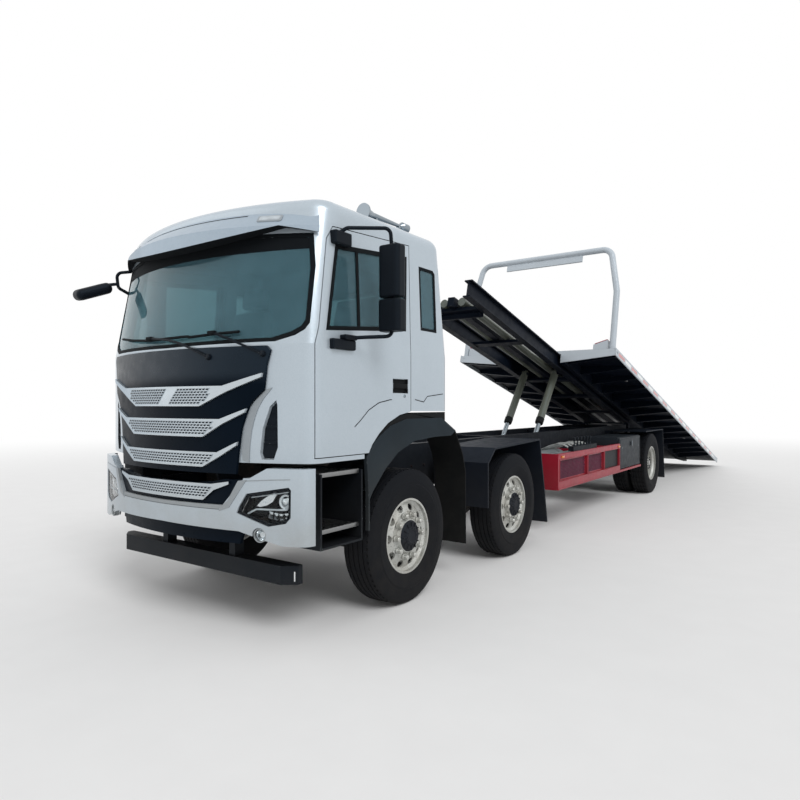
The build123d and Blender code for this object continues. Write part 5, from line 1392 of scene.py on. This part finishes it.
class TOWTRUCK_OT_steps(bpy.types.Operator):
    """Serrated step grips, rubber lips and flaps of the arches, and bolts along the chassis"""
    bl_idname = "towtruck.steps"
    bl_label = "Steps and frame bolts"

    def execute(self, context):
        bm = bmesh.new()
        for side in (1, -1):
            for z in (0.7215, 1.0955):
                for index in range(9):
                    block(bm, (0.40, 0.010, 0.007),
                          (side * 0.888, at(-0.985 + index * 0.040), z + 0.002), 0.002, 1)
                block(bm, (0.012, 0.400, 0.030), (side * 1.106, at(-0.825), z - 0.006), 0.003)
        piece("step_grips", bm, "chassis", "bare_steel")
        self.arch_rubbers()
        bm = bmesh.new()
        block(bm, (0.013, 0.004, 0.064), front_of("underrun_bar", 0.966, 0.427, 0.0), 0.001)
        piece("bar_mark", bm, "chassis", "tape_white")
        bm = bmesh.new()
        for side in (1, -1):
            for index in range(44):
                station = -0.9 + index * 0.215
                for z in (0.83, 0.95):
                    spot, normal = tree_of("chassis_frame").ray_cast(
                        Vector((side * 0.7, at(station), z)), Vector((-side, 0, 0)))[:2]
                    if spot is None or abs(normal.x) < 0.95 or abs(spot.x) < 0.35:
                        continue
                    lathe(bm, [(0, -0.002), (0.016, -0.002), (0.016, 0.004), (0.011, 0.005), (0.010, 0.014),
                               (0.007, 0.016), (0, 0.016)], facing(spot, (side, 0, 0)), 8)
        piece("frame_bolts", bm, "chassis", "frame_paint")
        return {"FINISHED"}

    def arch_rubbers(self):
        """Lips that close the gap between the arches and the cab, and flaps behind the first wheels."""
        arch = [(-0.556, 1.165), (-0.459, 1.286), (-0.286, 1.385), (-0.070, 1.436), (0.444, 1.436),
                (0.505, 1.404)]
        under_cab = [(-0.514, 1.262), (-0.434, 1.338), (-0.325, 1.413), (-0.176, 1.471), (-0.060, 1.494),
                     (0.444, 1.494), (0.505, 1.494)]
        lips, flaps = bmesh.new(), bmesh.new()
        for side in (1, -1):
            ribbon(lips, arch, under_cab, beside(side * 1.117), 0.018, (side, 0, 0), 0.05)
            ribbon(flaps, [(0.674, 1.322), (0.800, 1.120), (0.852, 0.960), (0.860, 0.310)],
                   [(0.680, 1.328), (0.808, 1.124), (0.860, 0.962), (0.868, 0.310)],
                   beside(side * 0.815), 0.323, (side, 0, 0), 0.2)
        piece("arch_lips", lips, "chassis", "seal_rubber")
        piece("wheel_flaps", flaps, "chassis", "seal_rubber")


SEAT_X = 0.64
BACK_LEAN = math.radians(90 - 9)


class TOWTRUCK_OT_cabin(bpy.types.Operator):
    """Stuffed seats, their bases and the bunk behind them"""
    bl_idname = "towtruck.cabin"
    bl_label = "Cabin"

    def execute(self, context):
        bases = bmesh.new()
        for side in (1, -1):
            block(bases, (0.36, 0.34, 0.17), (side * SEAT_X, at(-0.25), 1.630), 0.03, 3)
            block(bases, (0.44, 0.40, 0.03), (side * SEAT_X, at(-0.27), 1.715), 0.01)
        block(bases, (1.89, 0.33, 0.19), (0, at(0.25), 1.640), 0.02)
        made = piece("seat_bases", bases, "cab", "cabin_plastic")
        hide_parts("seats")
        for side_name, side in SIDES:
            back_tilt = Matrix.Rotation(BACK_LEAN, 4, "X")
            shapes = (("seat_pad", (0.49, 0.50, 0.15),
                       Matrix.Translation((side * SEAT_X, at(-0.33), 1.790)), 4),
                      ("seat_back", (0.47, 0.64, 0.13),
                       Matrix.Translation((side * SEAT_X, at(-0.075), 2.130)) @ back_tilt, 5),
                      ("seat_head", (0.29, 0.19, 0.10),
                       Matrix.Translation((side * SEAT_X, at(-0.010), 2.545)) @ back_tilt, 0))
            for label, size, place, channels in shapes:
                bm = bmesh.new()
                cushion(bm, size, place, channels)
                made = smoothed(piece(f"{label}_{side_name}", bm, "cab", "seat_cloth", 3.2))
                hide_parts("seats")
            bm = bmesh.new()
            for offset in (-0.06, 0.06):
                x = side * SEAT_X + offset
                rod(bm, (x, at(-0.030), 2.42), (x, at(-0.014), 2.50), 0.007, 12)
            piece(f"head_posts_{side_name}", bm, "cab", "chrome")
        bm = bmesh.new()
        cushion(bm, (1.88, 0.33, 0.14), Matrix.Translation((0, at(0.25), 1.800)), 0, 0.16)
        made = smoothed(piece("bunk_pad", bm, "cab", "seat_cloth", 3.2))
        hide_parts("seats")
        return {"FINISHED"}


class TOWTRUCK_OT_guards(bpy.types.Operator):
    """Pierced panels, beads, lever knobs and the pale pipes behind them"""
    bl_idname = "towtruck.guards"
    bl_label = "Side guards and controls"

    def execute(self, context):
        for side_name, side in SIDES:
            bm = bmesh.new()
            for start, stop in ((3.118, 4.072), (4.128, 4.772)):
                columns = int((stop - start) / 0.030) + 9

                def keep(station, z):
                    return start < station < stop and 0.650 < z < 0.894

                def seat(station, z, proud):
                    return Vector((side * (1.1232 + proud), at(station), z))
                pierced(bm, (columns, 15, start - 0.26, 0.648), 0.030, 0.0165, 1.0, seat, keep, 0.0036)
            # slot floors in the near-black lacquer: painted shade of the hollow behind the sheet
            piece(f"guard_mesh_{side_name}", bm, "chassis", ["mesh_plum", "lid_paint"])
            bm = bmesh.new()
            # flat black sheet in the third bay: painted shade inside the open frame
            block(bm, (0.006, 0.716, 0.268), (side * 1.120, at(5.175), 0.772))
            piece(f"guard_back_{side_name}", bm, "chassis", "black_plastic")
            bm = bmesh.new()
            for low, high in ((0.952, 0.966), (0.548, 0.562)):
                ribbon(bm, [(3.075, low), (5.550, low)], [(3.075, high), (5.550, high)],
                       beside(side * 1.1495), 0.005, (side, 0, 0), 0.5)
            for start, stop in ((3.110, 4.080), (4.120, 4.780), (4.820, 5.530)):
                border(bm, side * 1.151, (start - 0.004, stop + 0.004), (0.6405, 0.9035), 0.010,
                       stop - start + 0.02, 0.262)
            piece(f"guard_beads_{side_name}", bm, "chassis", "red_paint")
            knobs, pipes = bmesh.new(), bmesh.new()
            for index in range(6):
                y = at(3.750 + index * 0.120)
                lathe(knobs, [(0, 0.120), (0.010, 0.122), (0.016, 0.140), (0.019, 0.160), (0.015, 0.176),
                              (0.006, 0.1795), (0, 0.180)],
                      Matrix.Translation((side * 1.095, y, 0.965)), 18)
                lathe(knobs, [(0, 0.060), (0.019, 0.060), (0.016, 0.070), (0.010, 0.088), (0, 0.088)],
                      Matrix.Translation((side * 1.095, y, 0.970)), 14)
            piece(f"lever_knobs_{side_name}", knobs, "chassis", "black_plastic")
            for index in range(7):
                y = at(3.66 + index * 0.115)
                wave = 0.05 * math.sin(index * 2.1)
                hose(pipes, [(side * 1.075, y, 1.000), (side * 1.030, y, 1.030 + 0.010 * (index % 3)),
                             (side * 0.90, y + 0.14 + wave, 1.050),
                             (side * 0.74, y + 0.22, 1.02 - wave * 0.4), (side * 0.58, y + 0.30, 0.960),
                             (side * 0.44, y + 0.34, 0.900)], 0.0105)
            piece(f"control_pipes_{side_name}", pipes, "chassis", "hose_skin")
        return {"FINISHED"}


class TOWTRUCK_OT_tanks(bpy.types.Operator):
    """Straps and filler cap of the tanks, latches and pressed borders of the tool boxes"""
    bl_idname = "towtruck.tanks"
    bl_label = "Tanks and tool boxes"

    def execute(self, context):
        bm = bmesh.new()
        for station in (3.50, 4.25):
            place = facing((-0.78, at(station - 0.025), 0.78), BACKWARD)
            panel(bm, 0.570, 0.530, 0.05, place, 0.115, 0.003)
        for x in (0.64, 0.93):
            for station in (3.45, 4.15):
                lathe(bm, [(0, 0), (0.1335, 0), (0.1335, 0.045), (0, 0.045)],
                      facing((x, at(station), 0.82), BACKWARD), 40)
        piece("tank_straps", bm, "chassis", "bare_steel")
        bm = bmesh.new()
        cap = facing((-0.985, at(3.38), 0.985), (-0.8, 0, 0.8))
        lathe(bm, [(0, 0), (0.052, 0), (0.052, 0.016), (0.048, 0.020), (0.048, 0.034), (0.042, 0.040),
                   (0, 0.042)], cap, 36)
        block(bm, (0.012, 0.070, 0.012), cap @ Matrix.Translation((0, 0, 0.045)), 0.003)
        piece("filler_cap", bm, "chassis", "black_plastic")
        for side_name, side in SIDES:
            bm = bmesh.new()
            body = f"toolbox_door_{side_name}"
            block(bm, (0.010, 0.014, 0.090), (side * 1.1555, at(6.196), 0.945), 0.004, 3)
            for station in (5.70, 6.60):
                lathe(bm, [(0, -0.003), (0.013, -0.003), (0.012, 0.005), (0.005, 0.006), (0, 0.004)],
                      facing((side * 1.139, at(station), 0.90), (side, 0, 0)), 20)
            piece(f"box_latches_{side_name}", bm, body, "chrome")
            bm = bmesh.new()
            border(bm, side * 1.1395, (5.610, 6.690), (0.612, 1.024), 0.008, 1.080, 0.412)
            piece(f"box_presses_{side_name}", bm, body, "grey_paint")
        return {"FINISHED"}


# ---------------------------------------------------------------- bed
SHEET_PITCH = 0.31             # the floor's sheets lie this far apart, and the cleats too
WINCH_X = -0.22
WINCH_S = DECK_FRONT - 0.420
DRUM_HALF = 0.180
HOOP_X = 1.190
HOOP_S = DECK_FRONT - 0.070
LIFT_PIN = (3.512, 0.203)
LIFT_X = 0.25
LIFT_EYE = (4.120, 0.680)
BARREL_REACH = 0.955           # from the pin to the barrel's mouth


class TOWTRUCK_OT_bed(bpy.types.Operator):
    """Load floor, edge tape, lashing rims, corner wedges, glands and the winch's rope"""
    bl_idname = "towtruck.bed"
    bl_label = "Sliding bed"

    def execute(self, context):
        sizes = context.scene.tow_truck_sizes
        bm = bmesh.new()
        tail, front = DECK_TAIL + 0.006, DECK_FRONT - 0.80
        run, middle_s = front - tail, (front + tail) / 2
        for index in range(8):
            x = -3.5 * SHEET_PITCH + index * SHEET_PITCH
            panel(bm, 0.300, run, 0.003, bed_matrix(x, middle_s, FLOOR_TOP), 0.0, 0.001)
        for index in range(7):
            x = -3 * SHEET_PITCH + index * SHEET_PITCH
            panel(bm, 0.030, run - 0.1, 0.009, bed_matrix(x, middle_s, FLOOR_TOP), 0.006, 0.003)
        piece("load_floor", bm, "platform", "floor_steel")
        # cross cleats that stop wheels from slipping
        bm = bmesh.new()
        for index in range(26):
            s = DECK_FRONT - 1.0 - index * SHEET_PITCH
            for x in (-0.775, 0.775):
                block(bm, (0.52, 0.018, 0.008), bed_matrix(x, s, FLOOR_TOP + 0.0065), 0.003, 1)
        piece("floor_cleats", bm, "platform", "bare_steel")
        marks = {"tape_red": bmesh.new(), "tape_white": bmesh.new()}
        for side in (1, -1):
            for index in range(24):
                s = DECK_FRONT - 0.30 - index * 0.345
                colour = "tape_red" if index % 2 == 0 else "tape_white"
                place = bed_matrix(side * 1.2638, s, 0.392) @ Matrix.Rotation(side * math.pi / 2, 4, "Y")
                panel(marks[colour], 0.048, sizes.tape_length, 0.0012, place, 0.004)
        for colour, made in marks.items():
            piece(f"edge_{colour}", made, "platform", colour)
        bm = bmesh.new()
        for side in (1, -1):
            for s in (2.350, -2.290):
                lathe(bm, [(0.0245, -0.02), (0.040, 0.0), (0.042, 0.006), (0.036, 0.012), (0.026, 0.010),
                           (0.0245, -0.02)], bed_matrix(side * 1.0, s, FLOOR_TOP), 32)
        piece("lashing_rims", bm, "platform", "bare_steel")
        # dark red wedge tops on the corner boxes
        bm = bmesh.new()
        for side in (1, -1):
            angle = math.atan2(0.060, 0.190)
            place = bed_matrix(side * 1.035, DECK_FRONT - 0.175, DECK_TOP + 0.1575)
            place = place @ Matrix.Rotation(-side * angle, 4, "Y")
            panel(bm, 0.196, 0.306, 0.012, place, 0.012, 0.004)
        piece("wedge_tops", bm, "platform", "red_paint")
        self.winch()
        self.glands()
        self.hoop_fittings()
        return {"FINISHED"}

    def winch(self):
        """Rope wound on the drum, cheeks' rims and the motor."""
        drum = bed_matrix(WINCH_X, WINCH_S, DECK_TOP + 0.120) @ Matrix.Rotation(math.pi / 2, 4, "Y")
        bm = bmesh.new()
        steps = 26 * 4             # turns of the rope, each in four steps
        profile = [(0.0, -DRUM_HALF)]
        for index in range(steps + 1):
            height = -DRUM_HALF + 2 * DRUM_HALF * index / steps
            profile.append((0.084 + 0.006 * abs(math.sin(math.pi * index / 4)), height))
        profile.append((0.0, DRUM_HALF))
        lathe(bm, profile, drum, 40)
        piece("winch_rope", bm, "platform", "wire_rope")
        bm = bmesh.new()
        for height in (-0.188, 0.186):
            lathe(bm, [(0, 0), (0.110, 0), (0.112, 0.003), (0, 0.004)],
                  drum @ Matrix.Translation((0, 0, height)), 40)
        lathe(bm, [(0, 0), (0.062, 0), (0.064, 0.02), (0.060, 0.10), (0.045, 0.115), (0, 0.116)],
              drum @ Matrix.Translation((0, 0, 0.222)), 32)
        for end in (-1, 1):
            for offset in (-0.09, 0.09):
                lathe(bm, [(0, 0), (0.014, 0), (0.014, 0.010), (0.008, 0.014), (0, 0.014)],
                      bed_matrix(WINCH_X + end * 0.165, WINCH_S + offset * 1.3, DECK_TOP + 0.014), 6)
        piece("winch_fittings", bm, "platform", "bare_steel")

    def glands(self):
        """Black gland rings where the rods leave their barrels."""
        bm = bmesh.new()
        pin = bed_matrix(0, *LIFT_PIN).to_translation()
        eye = Vector((0, at(LIFT_EYE[0]), LIFT_EYE[1]))
        run = (eye - pin).normalized()
        for side in (1, -1):
            spot = pin + run * BARREL_REACH + Vector((side * LIFT_X, 0, 0))
            lathe(bm, [(0.0335, 0.0), (0.0335, 0.045), (0.046, 0.045), (0.058, 0.034), (0.060, 0.0),
                       (0.060, -0.05), (0.0555, -0.052), (0.0335, 0.0)], facing(spot, run), 32)
        piece("lift_glands", bm, "lift_barrels", "seal_rubber")
        bm = bmesh.new()
        for side in (1, -1):
            place = bed_matrix(side * 0.125, 1.950, 0.285) @ Matrix.Rotation(-math.pi / 2, 4, "X")
            lathe(bm, [(0.0315, 0.0), (0.0315, 0.02), (0.050, 0.02), (0.056, 0.012), (0.057, -0.06),
                       (0.0525, -0.062), (0.0315, 0.0)], place, 32)
        piece("slide_glands", bm, "tilt_frame", "seal_rubber")

    def hoop_fittings(self):
        """Collars at the hoop's feet and bolts on its plate."""
        bm = bmesh.new()
        for side in (1, -1):
            lathe(bm, [(0.044, 0), (0.085, 0), (0.085, 0.010), (0.060, 0.014), (0.052, 0.05),
                       (0.0455, 0.052)],
                  bed_matrix(side * HOOP_X, HOOP_S, DECK_TOP), 36)
            for s in (-0.05, 0.05):
                lathe(bm, [(0, 0.008), (0.012, 0.008), (0.012, 0.018), (0.006, 0.020), (0, 0.020)],
                      bed_matrix(side * (HOOP_X - 0.055), HOOP_S + s, DECK_TOP), 6)
        piece("hoop_collars", bm, "platform", "edge_paint")


class TOWTRUCK_OT_tail(bpy.types.Operator):
    """Lenses of the tail lamps, blank plate and side marker lamps"""
    bl_idname = "towtruck.tail"
    bl_label = "Tail"

    def execute(self, context):
        lenses = {"red_lens": bmesh.new(), "amber_lens": bmesh.new(), "pale_lens": bmesh.new()}
        for side in (1, -1):
            for x, colour in ((0.825, "amber_lens"), (0.735, "red_lens"), (0.645, "red_lens"),
                              (0.555, "pale_lens")):
                panel(lenses[colour], 0.084, 0.118, 0.016, facing((side * x, at(8.529), 0.775), BACKWARD),
                      0.012, 0.006)
            for station in (3.2, 5.50):
                panel(lenses["amber_lens"], 0.090, 0.030, 0.012,
                      facing((side * 1.150, at(station), 0.930), (side, 0, 0)), 0.008, 0.004)
        for colour, bm in lenses.items():
            piece(f"tail_{colour}", bm, "chassis", colour)
        bm = bmesh.new()
        panel(bm, 0.520, 0.086, 0.003, facing((0, at(8.5545), 0.560), BACKWARD), 0.010, 0.001)
        piece("blank_plate", bm, "chassis", "edge_paint")
        bm = bmesh.new()
        for side in (1, -1):
            for x in (0.515, 0.865):
                for z in (0.720, 0.830):
                    lathe(bm, [(0, 0), (0.006, 0), (0.006, 0.003), (0, 0.004)],
                          facing((side * x, at(8.530), z), BACKWARD), 8)
        piece("tail_screws", bm, "chassis", "bare_steel")
        return {"FINISHED"}


# ---------------------------------------------------------------- stage
SENSOR = 36.0
LENS = 28.25
SHIFT_Y = 0.0062
EYE = (3.910, -10.1953, 1.5535)
HEADING = 35.3                 # degrees that the camera looks to the left of straight back
# name, strength, spread and turn of each light, in degrees
LIGHTS = (("key", 1.5, 28, (48, 0, 62)), ("fill", 0.35, 60, (62, 0, -55)))


class TOWTRUCK_OT_stage(bpy.types.Operator):
    """Pale floor, soft light and the camera"""
    bl_idname = "towtruck.stage"
    bl_label = "Stage"

    def execute(self, context):
        scene = context.scene
        bm = bmesh.new()
        bmesh.ops.create_grid(bm, x_segments=1, y_segments=1, size=150.0)
        mesh = bpy.data.meshes.new("studio_floor")
        bm.to_mesh(mesh)
        bm.free()
        floor = bpy.data.objects.new("studio_floor", mesh)
        floor.location.z = -0.001
        scene.collection.objects.link(floor)
        mesh.materials.append(material("Pale Studio Floor", self.pale_floor))
        self.sky(scene)
        for name, energy, angle, turn in LIGHTS:
            data = bpy.data.lights.new(name, "SUN")
            data.energy = energy
            data.angle = math.radians(angle)
            lamp = bpy.data.objects.new(name, data)
            lamp.rotation_euler = [math.radians(part) for part in turn]
            scene.collection.objects.link(lamp)
        data = bpy.data.cameras.new("camera")
        data.sensor_width = SENSOR
        data.lens = LENS
        data.shift_y = SHIFT_Y
        data.clip_end = 400.0
        camera = bpy.data.objects.new("camera", data)
        camera.location = EYE
        camera.rotation_euler = (math.radians(90), 0, math.radians(HEADING))
        scene.collection.objects.link(camera)
        scene.camera = camera
        scene.view_settings.view_transform = "Standard"
        return {"FINISHED"}

    def pale_floor(self, tree, place):
        """Matt pale floor that fades into the white background far from the truck."""
        grain = add_node(tree, "TexNoise", {"Vector": place, "Scale": 3.0, "Detail": 4.0})
        tone = add_node(tree, "MapRange",
                        {"Value": grain.outputs[0], "To Min": 0.80, "To Max": 0.84})
        matt = add_node(tree, "BsdfDiffuse", {"Color": tone.outputs[0]})
        far = add_node(tree, "VectorMath", {0: place}, operation="LENGTH")
        fade = add_node(tree, "MapRange", {"Value": far.outputs["Value"], "From Min": 8.0,
                                                     "From Max": 26.0}, interpolation_type="SMOOTHSTEP")
        seen = self.seen_rays(tree)
        share = add_node(tree, "Math", {0: fade.outputs[0], 1: seen}, operation="MULTIPLY")
        white = add_node(tree, "Emission", {"Color": (1, 1, 1, 1), "Strength": 1.0})
        return add_node(tree, "MixShader", {0: share.outputs[0], 1: matt.outputs[0],
                                                      2: white.outputs[0]})

    def seen_rays(self, tree):
        """1 for rays that show the background: straight, mirrored or through glass."""
        path = add_node(tree, "LightPath")
        mirrored_too = add_node(tree, "Math", {0: path.outputs["Is Camera Ray"],
                                                         1: path.outputs["Is Glossy Ray"]}, operation="ADD")
        return add_node(tree, "Math", {0: mirrored_too.outputs[0],
                                                 1: path.outputs["Is Transmission Ray"]}, operation="ADD",
                        use_clamp=True).outputs[0]

    def sky(self, scene):
        """White surroundings, brighter where they are seen than where they light the truck."""
        world = bpy.data.worlds.new("studio")
        scene.world = world
        world.use_nodes = True
        tree = world.node_tree
        tree.nodes.clear()
        strength = add_node(tree, "MapRange", {"Value": self.seen_rays(tree), "To Min": 0.62,
                                                         "To Max": 1.0})
        light = add_node(tree, "Background", {"Color": (1, 1, 1, 1),
                                                        "Strength": strength.outputs[0]})
        add_node(tree, "OutputWorld", {"Surface": light.outputs[0]})


OPERATORS = (TOWTRUCK_OT_finishes, TOWTRUCK_OT_tyres, TOWTRUCK_OT_rims, TOWTRUCK_OT_grille,
             TOWTRUCK_OT_headlamps, TOWTRUCK_OT_windscreen, TOWTRUCK_OT_visor, TOWTRUCK_OT_doors,
             TOWTRUCK_OT_steps, TOWTRUCK_OT_cabin, TOWTRUCK_OT_guards, TOWTRUCK_OT_tanks, TOWTRUCK_OT_bed,
             TOWTRUCK_OT_tail, TOWTRUCK_OT_stage)


class TOWTRUCK_PT_panel(bpy.types.Panel):
    """Colours, sizes and build steps of the tow truck"""
    bl_idname = "TOWTRUCK_PT_panel"
    bl_label = "Flatbed Tow Truck"
    bl_space_type = "VIEW_3D"
    bl_region_type = "UI"
    bl_category = "Tow Truck"

    def draw(self, context):
        layout = self.layout
        for group in (context.scene.tow_truck_colours, context.scene.tow_truck_sizes):
            box = layout.box()
            for name in group.bl_rna.properties.keys():
                if name not in ("rna_type", "name"):
                    box.prop(group, name)
        for operator in OPERATORS:
            layout.operator(operator.bl_idname)


CLASSES = (TruckColours, TruckSizes, *OPERATORS, TOWTRUCK_PT_panel)


def register():
    for each in CLASSES:
        bpy.utils.register_class(each)
    bpy.types.Scene.tow_truck_colours = PointerProperty(type=TruckColours)
    bpy.types.Scene.tow_truck_sizes = PointerProperty(type=TruckSizes)


def unregister():
    del bpy.types.Scene.tow_truck_sizes
    del bpy.types.Scene.tow_truck_colours
    for each in reversed(CLASSES):
        bpy.utils.unregister_class(each)


def main():
    register()
    bpy.ops.towtruck.finishes()
    bpy.ops.towtruck.tyres()
    bpy.ops.towtruck.rims()
    bpy.ops.towtruck.grille()
    bpy.ops.towtruck.headlamps()
    bpy.ops.towtruck.windscreen()
    bpy.ops.towtruck.visor()
    bpy.ops.towtruck.doors()
    bpy.ops.towtruck.steps()
    bpy.ops.towtruck.cabin()
    bpy.ops.towtruck.guards()
    bpy.ops.towtruck.tanks()
    bpy.ops.towtruck.bed()
    bpy.ops.towtruck.tail()
    bpy.ops.towtruck.stage()


if __name__ == "__main__":
    main()
